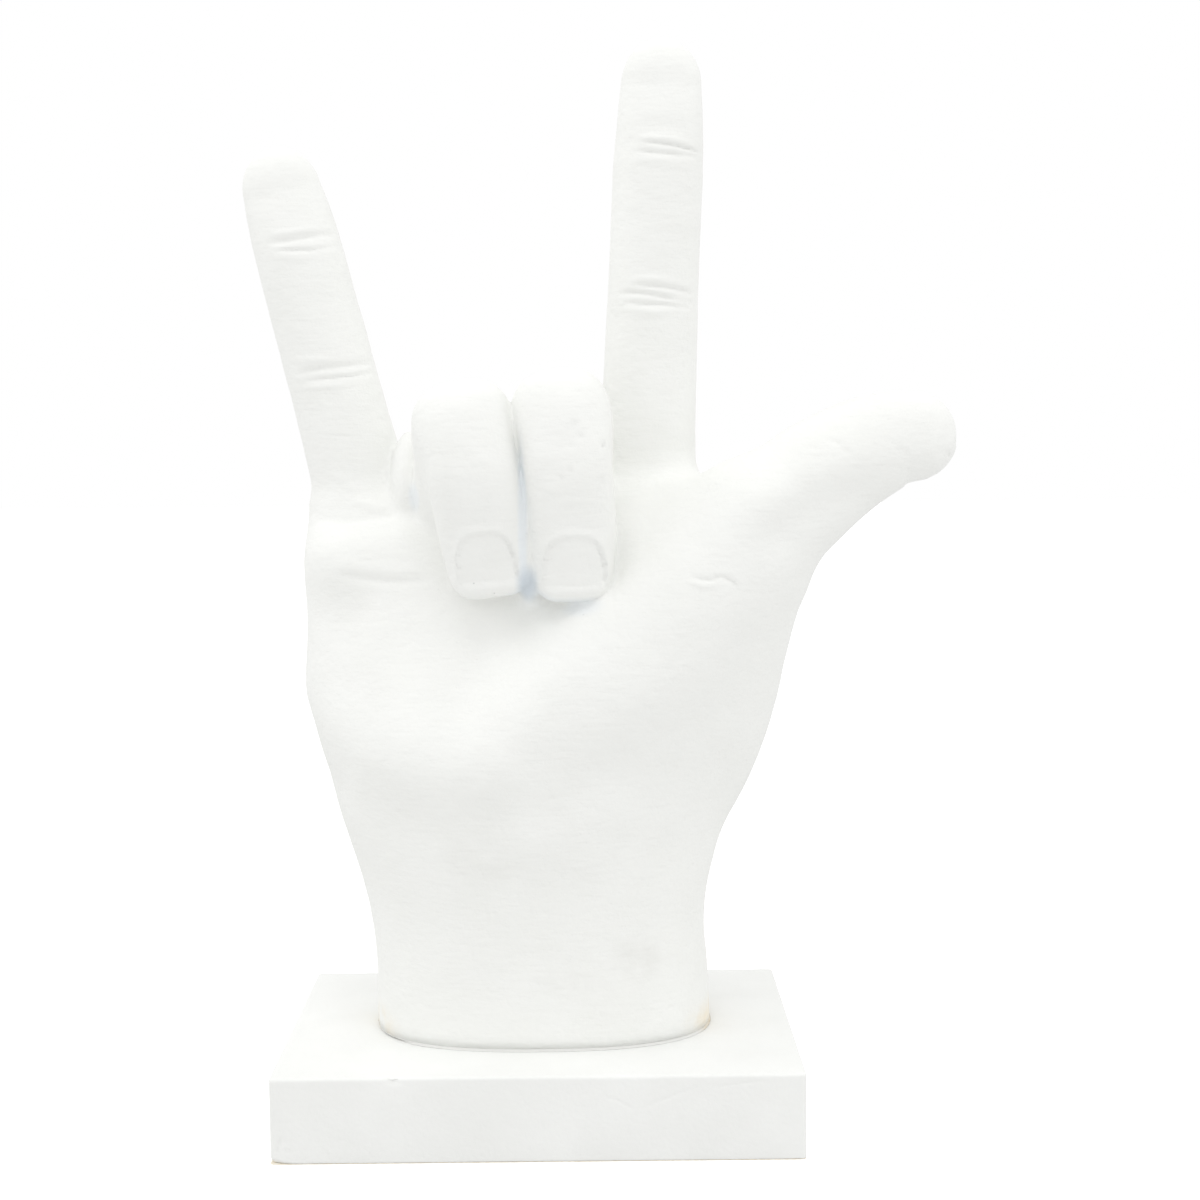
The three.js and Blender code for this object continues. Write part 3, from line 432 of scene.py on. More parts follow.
def fill_diagonals(values):
    """Fill one corner of every grid face whose inside corners lie diagonally, until none is left."""
    while True:
        changed = 0
        for a, b in ((0, 1), (1, 2), (0, 2)):
            base = [slice(0, -1) if axis in (a, b) else slice(None) for axis in range(3)]
            moved_a, moved_b, moved_both = list(base), list(base), list(base)
            moved_a[a] = moved_both[a] = slice(1, None)
            moved_b[b] = moved_both[b] = slice(1, None)
            inside = [values[tuple(corner)] < 0 for corner in (base, moved_a, moved_both, moved_b)]
            crossed = (inside[0] == inside[2]) & (inside[1] == inside[3]) & (inside[0] != inside[1])
            changed += crossed.sum()
            values[tuple(moved_a)][crossed & inside[0]] = -0.01
            values[tuple(base)][crossed & ~inside[0]] = -0.01
        if changed == 0:
            return


def net(field, lines):
    """Surface of a field on a graded grid, as points and quads.

    Each cell that the surface crosses has a point at the mean of its edges' crossings, and each grid edge
    that the surface crosses has a quad through its four cells.
    """
    values = sample_grid(field, lines)
    fill_diagonals(values)
    inside = values < 0
    shape = np.array(values.shape) - 1
    total = np.zeros(shape, np.int8)
    for i, j, k in np.ndindex(2, 2, 2):
        total += inside[i:, j:, k:][: shape[0], : shape[1], : shape[2]]
    cells = np.argwhere((total > 0) & (total < 8))
    number = np.full(shape, -1)
    number[tuple(cells.T)] = np.arange(len(cells))
    sums = np.zeros((len(cells), 3))
    crossings = np.zeros(len(cells))
    one = np.eye(3, dtype=int)
    for axis in range(3):
        step = one[axis]
        for u, v in np.ndindex(2, 2):
            start = cells + u * one[(axis + 1) % 3] + v * one[(axis + 2) % 3]
            end = start + step
            a, b = values[tuple(start.T)], values[tuple(end.T)]
            hit = (a < 0) != (b < 0)
            share = np.where(hit, a / np.where(hit, a - b, 1), 0)
            for c in range(3):
                low, high = lines[c][start[:, c]], lines[c][end[:, c]]
                sums[:, c] += hit * (low + share * (high - low))
            crossings += hit
    quads = []
    for axis in range(3):
        first = [slice(1, -1)] * 3
        second = [slice(1, -1)] * 3
        second[axis] = slice(2, None)
        here, there = inside[tuple(first)], inside[tuple(second)]
        crossed = np.argwhere(here != there) + 1
        out = inside[tuple(crossed.T)]
        s, t = one[(axis + 1) % 3], one[(axis + 2) % 3]
        ring = np.stack([number[tuple((crossed - d).T)] for d in (0 * s, s, s + t, t)], 1)
        quads.append(np.where(out[:, None], ring, ring[:, ::-1]))
    return sums / crossings[:, None], np.concatenate(quads)


def slope_of(field, points, d):
    """Slope of the field at the points, where its value is d."""
    h = 0.04
    return np.stack([(field(points + h * way) - d) / h for way in np.eye(3)], 1)


def settle(field, points):
    """Points moved on to the surface, and the outward directions there."""
    d = field(points)
    slope = slope_of(field, points, d)
    for turn in range(3):
        steep = np.maximum((slope**2).sum(1), 0.3)
        points = points - slope * (np.clip(d, -1.5, 1.5) / steep)[:, None]
        if turn < 2:
            d = field(points)
    return points, slope / np.linalg.norm(slope, axis=1, keepdims=True)


def evened(points, quads, rounds, tight=0.5):
    """Points moved part of the way to the mean of their neighbours."""
    starts = quads.ravel()
    ends = np.roll(quads, -1, axis=1).ravel()
    both = np.concatenate([starts, ends])
    other = np.concatenate([ends, starts])
    count = np.bincount(both, minlength=len(points))
    for _ in range(rounds):
        total = np.stack([np.bincount(both, points[other, c], len(points)) for c in range(3)], 1)
        points = points + (total / count[:, None] - points) * tight
    return points


def value_noise(points, size, seed):
    """Smooth noise from -1 to 1 with lumps of about the given size.

    Each whole lattice point has a number from a sine hash, and the eight round a point are eased together.
    """
    q = np.asarray(points, float) / size + seed * 17.31
    cell = np.floor(q)
    t = q - cell
    t = t * t * (3 - 2 * t)
    total = np.zeros(len(q))
    for corner in np.ndindex(2, 2, 2):
        hashed = np.sin((cell + corner) @ (12.9898, 78.233, 37.719) + seed) * 43758.5453
        weight = np.abs(1 - np.array(corner) - t).prod(1)
        total += weight * (hashed - np.floor(hashed))
    return total * 2 - 1


def rising(value, start, length):
    """0 up to the start, 1 from start + length on, and straight between."""
    return np.clip((value - start) / length, 0, 1)


def bell(value, width):
    """exp(-(value / width) ** 2)."""
    return np.exp(-((value / width) ** 2))


def uneven(points, layers):
    """Sum of layers of noise, each its height, the size of its lumps and its seed."""
    return sum(height * value_noise(points, size, seed) for height, size, seed in layers)


def placed(name, data):
    """A new object in the scene."""
    made = bpy.data.objects.new(name, data)
    bpy.context.scene.collection.objects.link(made)
    return made


def mesh_object(name, points_mm, faces, material):
    """A smooth mesh object from points in millimetres and faces of one length each."""
    mesh = bpy.data.meshes.new(name)
    faces = np.asarray(faces)
    mesh.vertices.add(len(points_mm))
    mesh.vertices.foreach_set("co", (np.asarray(points_mm) * MM).ravel().astype(np.float32))
    mesh.loops.add(faces.size)
    mesh.loops.foreach_set("vertex_index", faces.ravel())
    mesh.polygons.add(len(faces))
    mesh.polygons.foreach_set("loop_start", np.arange(0, faces.size, faces.shape[1]))
    mesh.polygons.foreach_set("use_smooth", np.ones(len(faces), bool))
    mesh.update(calc_edges=True)
    mesh.validate()
    if material:
        mesh.materials.append(material)
    return placed(name, mesh)


def seen(form, base, pixels):
    """The places on a form that the given picture pixels show; base is the height that its z = 0 stands at.

    Each pixel's ray leaves the eye and is walked on by the field's value until it meets the surface.
    """
    right, up, forward = camera_axes()
    pixels = np.asarray(pixels, float)
    focal = LENS_MM / SENSOR_MM * PICTURE
    across, down = [(pixels[:, c : c + 1] - PICTURE / 2) / focal for c in (0, 1)]
    rays = forward + right * across - up * down
    rays /= np.linalg.norm(rays, axis=1, keepdims=True)
    start = np.array(EYE) / MM - (0, 0, base)
    reach = np.full(len(rays), 400.0)
    for _ in range(40):
        reach += np.clip(form(start + rays * reach[:, None]), -2, 15) * 0.9
    return start + rays * reach[:, None]


def hand_mesh(material):
    """The hand: the net of its form, evened out, with its relief raised along the outward direction."""
    lines = [grid_lines(bands, low) for bands, low in zip((GRID_ACROSS, GRID_DEEP, GRID_UP), GRID_START)]
    points, quads = net(hand_form, lines)
    points, _ = settle(hand_form, evened(points, quads, 2))
    points, outward = settle(hand_form, evened(points, quads, 1, 0.3))
    points = points + outward * relief(points, outward)[:, None]
    points[:, 2] += FOOT
    low, high = np.array(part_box("hand_casting")) / MM
    points = np.clip(points, (low[0] + SKIN, low[1] + SKIN, -FAR), high - SKIN)
    piece = mesh_object("hand", points, quads, material)
    cut_flat(piece, FOOT)
    return piece


def cut_flat(piece, height):
    """Cut the piece off level at a height in millimetres and close it."""
    mesh = bmesh.new()
    mesh.from_mesh(piece.data)
    everything = mesh.verts[:] + mesh.edges[:] + mesh.faces[:]
    bmesh.ops.bisect_plane(
        mesh, geom=everything, plane_co=(0, 0, height * MM), plane_no=(0, 0, 1), clear_inner=True, dist=1e-7
    )
    rim = [edge for edge in mesh.edges if edge.is_boundary]
    filled = bmesh.ops.holes_fill(mesh, edges=rim, sides=0)
    for face in filled["faces"]:
        face.smooth = False
    mesh.to_mesh(piece.data)
    mesh.free()


# Marks worked into the surface. Each is its half width and its height in millimetres, negative where it is
# cut in, and then the picture pixels that it runs through, each across and down.
MARKS = (
    # Index finger, upper joint: two creases that meet on the right, and the skin about them
    (0.32, -0.62, 645, 142, 668, 144, 686, 148, 698, 152),
    (0.45, -0.55, 638, 151, 652, 152, 672, 154, 694, 157),
    (0.55, 0.30, 640, 138, 662, 138, 688, 142),
    (0.60, 0.26, 640, 160, 662, 161, 692, 163),
    (1.8, -0.30, 640, 127, 664, 126, 688, 130),
    # Index finger, middle joint: three creases
    (0.45, -0.60, 636, 285, 656, 286, 676, 289, 692, 293),
    (0.50, -0.62, 620, 294, 640, 293, 664, 297, 692, 303),
    (0.42, -0.50, 625, 303, 645, 304, 666, 305, 688, 308),
    (0.60, 0.28, 630, 279, 656, 279, 690, 285),
    (0.60, 0.30, 630, 310, 656, 312, 690, 314),
    # Little finger, upper joint
    (0.75, -0.75, 271, 243, 288, 240, 306, 237, 331, 235),
    (0.35, -0.45, 275, 251, 296, 250, 316, 249, 335, 246),
    (0.60, 0.32, 276, 257, 300, 257, 336, 254),
    (0.60, 0.22, 270, 234, 296, 231, 326, 228),
    # Little finger, middle joint
    (0.70, -0.62, 301, 373, 320, 369, 345, 366, 368, 364),
    (0.40, -0.48, 307, 381, 330, 378, 352, 376, 370, 373),
    (0.60, 0.28, 308, 388, 334, 386, 372, 381),
    (0.60, 0.24, 300, 362, 324, 359, 364, 355),
    # Creases at the little finger's root and across the palm below it
    (1.1, -0.45, 316, 520, 345, 519, 375, 516, 402, 512),
    (5.0, -0.80, 318, 521, 345, 520, 375, 517, 402, 513),
    (1.0, -0.45, 340, 575, 366, 579, 398, 582, 426, 581),
    (1.6, 0.30, 340, 566, 370, 569, 410, 572),
    # The break of slope along the thumb's front
    (5.5, 1.1, 727, 523, 765, 503, 806, 479, 849, 463, 895, 440),
    (5.5, -0.7, 758, 556, 785, 532, 815, 512, 850, 494, 888, 474),
    # Marks on the lower part of the little finger
    (0.8, 0.25, 330, 474, 342, 480, 350, 488, 361, 493),
    (1.0, 0.35, 352, 500, 368, 504, 386, 510),
    # Wrinkle and crack on the thumb, the crack on its ball, and the scar beside it
    (0.45, -0.40, 828, 441, 838, 444, 849, 454),
    (0.22, -0.30, 884, 440, 894, 443, 901, 449, 910, 455),
    (0.35, -0.45, 692, 576, 706, 580, 721, 577, 733, 581, 739, 589),
    (0.55, 0.35, 690, 582, 704, 586, 718, 584),
    (0.9, -0.22, 652, 694, 664, 676, 676, 662, 686, 654),
    (0.6, 0.20, 657, 698, 669, 681, 682, 667),
    # Thumbnail's free edge, seen from in front
    (0.35, -0.5, 943, 450, 948, 454, 953, 453),
    # Folded fingers: low bands and dents
    (0.35, 0.18, 561, 502, 577, 503, 593, 502),
    (0.35, 0.14, 544, 490, 552, 489, 560, 490),
    (0.30, -0.35, 565, 427, 569, 430, 574, 426),
    (0.28, -0.35, 571, 424, 577, 423),
    (0.30, -0.30, 574, 433, 581, 436),
    (0.26, -0.45, 602, 446, 605, 442),
    (0.24, -0.35, 602, 480, 604, 484),
    (0.22, -0.40, 555, 474, 556, 475),
    (0.22, -0.40, 562, 477, 563, 479),
    (0.20, -0.30, 566, 471, 567, 471),
    (0.20, -0.30, 570, 469, 571, 469),
    (0.24, -0.30, 475, 383, 482, 383),
    (0.9, 0.18, 470, 464, 482, 459, 490, 466),
    (1.2, 0.15, 462, 452, 472, 449, 480, 452),
)

# Nails of the folded fingers: corners of the free edge, then the top of the plate, as picture pixels
NAILS = (((461, 583), (517, 578), (493, 535)), ((546, 586), (605, 582), (575, 539)))
# Nails on the backs of the raised fingers and the thumb: middle of the free edge, across, along, half width
# and length
BACK_NAILS = (
    ((30.2, 12, 221), (1, 0, -0.05), (-0.04, 0, -1), 6.6, 12),
    ((-57.4, 10.6, 193.5), (0.97, 0, 0.24), (0.24, 0, -0.97), 6.2, 11),
    ((93.5, -1, 131.5), (0.09, -0.78, -0.62), (-1, 0, -0.15), 6.8, 12),
)
NAIL_GROOVE = 0.20
NAIL_GROOVE_WIDTH = 0.05
CUTICLE_RISE = 0.42
CUTICLE_WIDTH = 0.13
PLATE_SINK = 0.12
PULP_SWELL = 0.75
BACK_SWELL = 0.25
# The cast is even up to this height over its foot, and uneven in full this much higher
FOOT_FADE = (0.5, 5)
# Soft unevenness of the cast: height, size of its lumps and seed
UNEVENNESS = ((0.14, 9.0, 3), (0.05, 3.5, 5), (0.03, 1.7, 7))


def mark_heights(points, outward, marks, form, base):
    """Sum of the marks' heights on a form that stands at the base height.

    A mark's height at distance d from its line is its own height times exp(-(d / half width) ** 2), and
    fades towards its two ends. Only what faces the camera is marked.
    """
    facing = outward @ (np.array(EYE) / MM - (0, 0, base) - points.mean(0)) > 0
    paths = [np.reshape(pixels, (-1, 2)) for _, _, *pixels in marks]
    ends = np.cumsum([len(path) for path in paths])[:-1]
    spots = seen(form, base, np.concatenate(paths))
    height = np.zeros(len(points))
    for (half_width, rise, *_), line in zip(marks, np.split(spots, ends)):
        curve = spans(np.hstack([line, np.zeros((len(line), 2))]))[:, :, :3]
        shares = np.linspace(0, 1, 6)[:-1, None, None]
        fine = ((curve[:, 3] * shares + curve[:, 2]) * shares + curve[:, 1]) * shares + curve[:, 0]
        fine = np.vstack([fine.transpose(1, 0, 2).reshape(-1, 3), line[-1:]])
        reach = half_width * 3
        near = np.all((points > fine.min(0) - reach) & (points < fine.max(0) + reach), axis=1) & facing
        index = np.flatnonzero(near)
        q = points[index]
        best = np.full(len(q), np.inf)
        along = np.zeros(len(q))
        for i, (a, b) in enumerate(zip(fine[:-1], fine[1:])):
            chord = b - a
            share = np.clip((q - a) @ chord / max(chord @ chord, 1e-9), 0, 1)
            gap = ((q - a - share[:, None] * chord) ** 2).sum(1)
            along = np.where(gap < best, (i + share) / (len(fine) - 1), along)
            best = np.minimum(best, gap)
        fade = rising(np.minimum(along, 1 - along), 0, 0.2) if len(line) > 2 else 1.0
        height[index] += rise * (0.35 + 0.65 * fade) * np.exp(-best / half_width**2)
    return height


def nail_heights(points, outward):
    """Relief of the nails, the two folded fingers' in front and three behind.

    With u across the nail and v from its free edge to its top, both -1 to 1, r is the power mean of u and v.
    A fine groove runs round the plate, deepest on its right, and a lip stands over it. The plate is sunk a
    little, and beyond the free edge the flesh swells out.
    """
    height = np.zeros(len(points))
    plates = []
    for corners in NAILS:
        left, right, top = seen(hand_form, FOOT, corners)
        middle = (left + right) / 2
        half = np.linalg.norm(right - left) / 2
        plates.append((middle, right - left, top - middle, half, np.linalg.norm(top - middle), PULP_SWELL))
    plates += [(*nail, BACK_SWELL) for nail in BACK_NAILS]
    for middle, across, along, half, length, bulge in plates:
        across = np.asarray(across, float) / np.linalg.norm(across)
        along = along - (np.asarray(along, float) @ across) * across
        along = along / np.linalg.norm(along)
        q = points - np.asarray(middle, float)
        near = (np.linalg.norm(q, axis=1) < length * 2) & (outward @ np.cross(across, along) > 0.15)
        u = (q[near] @ across) / half
        v = (q[near] @ along) / length
        r = (np.abs(u) ** 3.4 + np.maximum(v, 0) ** 2.8) ** (1 / 3.1)
        beyond = rising(-v, 0, 0.06)
        deeper = 0.75 + 1.6 * rising(u, 0.55, 0.3)
        sunk = -NAIL_GROOVE * deeper * bell(r - 1, NAIL_GROOVE_WIDTH) * (1 - beyond)
        lip = CUTICLE_RISE * rising(r, 0.98, 0.07) * bell(np.maximum(r - 1.04, 0), CUTICLE_WIDTH)
        lip *= rising(v, -0.1, 0.3)
        crown = -PLATE_SINK * rising(1 - r, 0, 0.08) * (1 - beyond)
        side = rising(1.2 - np.abs(u), 0, 0.35)
        swell = bulge * side * beyond * bell(np.maximum(-v, 0) - 0.22, 0.20)
        height[near] += sunk + lip + crown + swell
    return height


def relief(points, outward):
    """Height of the fine relief at each point, in millimetres: unevenness, marks and nails."""
    soft = uneven(points, UNEVENNESS) * rising(points[:, 2], *FOOT_FADE)
    return soft + mark_heights(points, outward, MARKS, hand_form, FOOT) + nail_heights(points, outward)


# Plinth, felt and glue, in millimetres
PLINTH_LOW, PLINTH_HIGH = np.array(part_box("plinth")) / MM
PLINTH_CORNER = 1.2
PLINTH_EDGE = 0.62
EDGE_WANDER = 0.22
LOWER_EDGE_SHARE = 0.3
LOWER_EDGE_HEIGHT = 6
# How much more the lower left corner in front is worn, and over what distances
WORN_CORNER = 1.7
WORN_SIZE = (2.6, 3.0, 3.2)
PLINTH_UNEVENNESS = ((0.05, 16.0, 4), (0.03, 4.0, 6))
FELT_TOP = 0.22
CLEARANCE = 0.01
FELT_EDGE = 0.1
FELT_RAGGED = 0.08
# Screw wells: their places from side to side, and how far behind the middle they are
WELLS = (-20.4, 21.6)
WELL_BACK = 1.5
WELL_RADIUS = 6.5
WELL_HEIGHT = 7
SCREW_HOLE_RADIUS = 2.8
FELT_HOLE_RADIUS = 7
CUTTER_POLE = 0.01
PLINTH_MARKS = (
    # Notch in the upper edge, three hairline cracks and two scratches
    (0.8, -0.75, 391, 1079, 393, 1081, 395, 1079),
    (0.30, -0.13, 605, 1097, 618, 1101, 635, 1110),
    (0.30, -0.12, 640, 1109, 668, 1098, 700, 1086),
    (0.30, -0.12, 712, 1088, 738, 1084, 765, 1081),
    (0.32, -0.22, 280.6, 1138.8, 278, 1147, 275, 1155),
    (0.32, -0.20, 285, 1149, 288, 1151, 291, 1152),
)


def plinth_form(points):
    """Distance to the plinth's sharp block, by its farthest face."""
    middle = (PLINTH_LOW + PLINTH_HIGH) / 2
    return (np.abs(points - middle) - (PLINTH_HIGH - PLINTH_LOW) / 2).max(1)


def edge_lines(low, high, spacing, edge=3.0, fine=0.3):
    """Lines from low to high at the spacing, and close together within the edge distance of both ends."""
    inner = np.linspace(low + edge, high - edge, max(int((high - low - 2 * edge) / spacing), 1) + 1)
    count = int(edge / fine) + 1
    start, end = np.linspace(low, low + edge, count)[:-1], np.linspace(high - edge, high, count)[1:]
    return np.concatenate([start, inner, end])


def block(lines):
    """The outside of a lattice: its points and outward quads, from three sets of lines."""
    points, quads, count = [], [], 0
    for axis in range(3):
        u, v = (axis + 1) % 3, (axis + 2) % 3
        flat = np.stack(np.meshgrid(lines[u], lines[v], indexing="ij"), -1).reshape(-1, 2)
        rows, columns = len(lines[u]), len(lines[v])
        first = (np.arange(rows - 1)[:, None] * columns + np.arange(columns - 1)).ravel()
        ring = np.stack([first, first + columns, first + columns + 1, first + 1], 1)
        for end, order in ((0, ring[:, ::-1]), (-1, ring)):
            face = np.empty((len(flat), 3))
            face[:, u], face[:, v], face[:, axis] = flat[:, 0], flat[:, 1], lines[axis][end]
            points.append(face)
            quads.append(order + count)
            count += len(face)
    merged, place = np.unique(np.concatenate(points), axis=0, return_inverse=True)
    return merged, place.reshape(-1)[np.concatenate(quads)]


def rounded(points, low, high, corner, edge):
    """Points of a block's outside moved on to rounded edges and corners, and the outward directions there.

    With a and b the distances into the edge's band from the side and from above, both are multiplied by
    max(a, b) / hypot(a, b), which turns the square rim into a quarter circle. The plan's corners are turned
    the same way. The edge radius may differ from point to point.
    """
    middle, half = (low + high) / 2, (high - low) / 2
    q = points - middle
    side = np.maximum(np.abs(q[:, :2]) - (half[:2] - edge[:, None]), 0).max(1)
    over = np.maximum(np.abs(q[:, 2]) - (half[2] - edge), 0)
    turn = np.maximum(side, over) / np.maximum(np.hypot(side, over), 1e-9)
    drawn = (half[:2] - edge[:, None] + (side * turn)[:, None]) / (half[:2] - edge[:, None] + side[:, None])
    across = np.sign(q[:, :2]) * np.abs(q[:, :2]) * np.where(side[:, None] > 0, drawn, 1)
    up = np.sign(q[:, 2]) * np.where(over > 0, half[2] - edge + over * turn, np.abs(q[:, 2]))
    away = across - np.clip(across, corner - half[:2], half[:2] - corner)
    length = np.linalg.norm(away, axis=1)
    bent = np.abs(away).max(1) / np.maximum(length, 1e-9)
    across = across + away * (bent - 1)[:, None] * (length > 0)[:, None]
    outward = np.column_stack([away * (side > edge * 0.999)[:, None], np.zeros(len(q))])
    outward /= np.maximum(np.linalg.norm(outward, axis=1, keepdims=True), 1e-9)
    outward *= (side * turn / edge)[:, None]
    outward[:, 2] = np.sign(q[:, 2]) * np.where(over > 0, over * turn / edge, 0)
    outward /= np.maximum(np.linalg.norm(outward, axis=1, keepdims=True), 1e-9)
    return np.column_stack([across, up]) + middle, outward


def lofted(name, rings, material, closed=False):
    """A mesh object of rings of points, each joined to the next and, where closed, the last to the first."""
    count = len(rings[0])
    row = np.arange(len(rings))[:, None] * count
    after = np.roll(row, -1, axis=0)
    if not closed:
        row, after = row[:-1], after[:-1]
    start, end = np.arange(count), np.roll(np.arange(count), -1)
    quads = np.stack([row + start, row + end, after + end, after + start], -1).reshape(-1, 4)
    return mesh_object(name, np.concatenate(rings), quads, material)


def turned_cutter(outline, x, segments=48):
    """A turned surface round an upright line, to cut a well with: x, y = radius * (cos, sin)."""
    angles = np.linspace(0, 2 * np.pi, segments, endpoint=False)
    ring = np.stack([np.cos(angles), np.sin(angles)], 1)
    rings = [np.column_stack([ring * radius + (x, WELL_BACK), np.full(segments, z)]) for radius, z in outline]
    return lofted("cutter", rings, None)


def drilled(piece, outline):
    """Cut the two screw wells out of a piece; the outline is the wells' radii and heights."""
    cutters = [turned_cutter(outline, x) for x in WELLS]
    for cutter in cutters:
        cut = piece.modifiers.new("well", "BOOLEAN")
        cut.object = cutter
        cut.solver = "EXACT"
    ready = piece.evaluated_get(bpy.context.evaluated_depsgraph_get())
    mesh = bpy.data.meshes.new_from_object(ready)
    piece.modifiers.clear()
    piece.data = mesh
    mesh.set_sharp_from_angle(angle=0.7)
    for cutter in cutters:
        bpy.data.objects.remove(cutter)


def plinth_block(material):
    """The plinth: a block with softly worn edges, its lower left corner in front worn the most."""
    low, high = np.array((*PLINTH_LOW[:2], FELT_TOP + CLEARANCE)), PLINTH_HIGH
    # More lines across the hairline cracks
    xs = np.unique(np.concatenate([edge_lines(low[0], high[0], 1.2), np.arange(-0.5, 41, 0.35)]))
    ys = edge_lines(low[1], high[1], 1.6)
    zs = edge_lines(low[2], high[2], 0.4, 2.4, 0.3)
    points, quads = block((xs, ys, zs))
    edge = PLINTH_EDGE + EDGE_WANDER * value_noise(points, 7.0, 2)
    edge = np.where(points[:, 2] < low[2] + LOWER_EDGE_HEIGHT, edge * LOWER_EDGE_SHARE, edge)
    edge = edge + WORN_CORNER * np.exp(-(((points - low) / WORN_SIZE) ** 2).sum(1))
    points, outward = rounded(points, low, high, PLINTH_CORNER, edge)
    wave = uneven(points, PLINTH_UNEVENNESS)
    marks = mark_heights(points, outward, PLINTH_MARKS, plinth_form, 0.0)
    points = points + outward * (wave + marks)[:, None]
    piece = mesh_object("plinth_body", np.clip(points, low, high), quads, material)
    seat = PLINTH_LOW[2] + WELL_HEIGHT
    hole = ((SCREW_HOLE_RADIUS, seat), (SCREW_HOLE_RADIUS, 25), (CUTTER_POLE, 25))
    drilled(piece, ((CUTTER_POLE, -1), (WELL_RADIUS, -1), (WELL_RADIUS, seat), *hole))
    return piece


def felt_sheet(material):
    """The felt: a thin sheet, its rim a little ragged."""
    low = np.array((PLINTH_LOW[0], PLINTH_LOW[1], 0.0))
    high = np.array((PLINTH_HIGH[0], PLINTH_HIGH[1], FELT_TOP))
    across, deep = [edge_lines(low[axis], high[axis], 2.0) for axis in (0, 1)]
    points, quads = block((across, deep, np.linspace(low[2], high[2], 4)))
    points, outward = rounded(points, low, high, PLINTH_CORNER, np.full(len(points), FELT_EDGE))
    rim = np.abs(outward[:, 2]) < 0.5
    points = points + outward * (rim * FELT_RAGGED * (value_noise(points, 2.3, 8) - 1))[:, None]
    piece = mesh_object("felt_sheet", points, quads, material)
    drilled(piece, ((CUTTER_POLE, -1), (FELT_HOLE_RADIUS, -1), (FELT_HOLE_RADIUS, 2), (CUTTER_POLE, 2)))
    return piece


# Where the glue is drawn back from the foot's front: place from side to side, half width and depth
GLUE_GAP = (-35.2, 3.2, 1.3)
# The glue's section: distance outside the wrist's foot, height above the plinth
GLUE_SECTION = (
    (-7, 0.02),
    (-3, 0.02),
    (0.3, 0.02),
    (0.1, 0.1),
    (0.02, 0.25),
    (0, 0.4),
    (-0.01, 0.59),
    (-3, 0.59),
    (-7, 0.59),
)


def glue_bead(material):
    """The glue: a flat ring under the foot with a bead pressed out round it.

    The ring follows the foot's outline, |x / a| ** n + |y / b| ** n = 1, and its section is carried round it.
    At the foot's left corner in front the bead is drawn back, which leaves a dark gap.
    """
    angles = np.linspace(0, 2 * np.pi, 480, endpoint=False)
    power = 2 / WRIST_SQUARENESS
    c = np.sign(np.cos(angles)) * np.abs(np.cos(angles)) ** power
    s = np.sign(np.sin(angles)) * np.abs(np.sin(angles)) ** power
    middle = ((WRIST_LEFT + WRIST_RIGHT) / 2, (WRIST_FRONT + WRIST_BACK) / 2 + 1)
    wide = (WRIST_RIGHT - WRIST_LEFT) / 2
    deep = np.where(s < 0, middle[1] - WRIST_FRONT, WRIST_BACK - middle[1])
    x, y = middle[0] + wide * c, middle[1] + deep * s
    place, half_width, depth = GLUE_GAP
    gap = bell(x - place, half_width) * (y < 0)
    rings = []
    for out, up in GLUE_SECTION:
        shift = out - depth * gap * (out > -1) * (up < 0.3)
        across, along = middle[0] + (wide + shift) * c, middle[1] + (deep + shift) * s
        rings.append(np.column_stack([across, along, np.full(len(x), PLINTH_HIGH[2] + up)]))
    return lofted("glue_bead", rings, material, closed=True)


def node(tree, kind, inputs, **settings):
    """A new shader node with its settings; each input is a value or another node's output."""
    made = tree.nodes.new("ShaderNode" + kind)
    for name, value in settings.items():
        setattr(made, name, value)
    for socket, value in inputs.items():
        if isinstance(value, bpy.types.NodeSocket):
            tree.links.new(value, made.inputs[socket])
        else:
            made.inputs[socket].default_value = value
    return made


def principled(name, colour, roughness):
    """A material with a Principled shader, its node tree, the shader and its object coordinates."""
    material = bpy.data.materials.new(name)
    material.use_nodes = True
    tree = material.node_tree
    shader = tree.nodes["Principled BSDF"]
    shader.inputs["Base Color"].default_value = (*colour, 1)
    shader.inputs["Roughness"].default_value = roughness
    return material, tree, shader, node(tree, "TexCoord", {}).outputs["Object"]


def noise(tree, place, scale, detail):
    """Noise node's output on the given coordinates; scale is lumps per metre."""
    return node(tree, "TexNoise", {"Vector": place, "Scale": scale, "Detail": detail}).outputs["Fac"]


def ramp(tree, value, stops):
    """Colours eased between two stops of position and colour."""
    made = node(tree, "ValToRGB", {"Fac": value})
    for element, (position, colour) in zip(made.color_ramp.elements, stops):
        element.position = position
        element.color = (*colour, 1)
    return made.outputs["Color"]


def bump(tree, shader, heights):
    """Chain bumps, each a height output and its size in millimetres, on to the shader's normal."""
    below = {}
    for height, size in heights:
        made = node(tree, "Bump", {"Height": height, "Distance": size * MM, **below})
        below = {"Normal": made.outputs["Normal"]}
    tree.links.new(below["Normal"], shader.inputs["Normal"])


def calculated(tree, operation, *values):
    """A math node's output; each value is an output or a number."""
    return node(tree, "Math", dict(enumerate(values)), operation=operation).outputs["Value"]


def product(tree, *values):
    """The product of two values, each an output or a number."""
    return calculated(tree, "MULTIPLY", *values)


def one_minus(tree, value):
    """1 less the value."""
    return calculated(tree, "SUBTRACT", 1.0, value)


def eased(tree, value, start, end):
    """0 before start, 1 after end, smooth between."""
    inputs = {"Value": value, "From Min": start, "From Max": end}
    return node(tree, "MapRange", inputs, interpolation_type="SMOOTHSTEP").outputs["Result"]


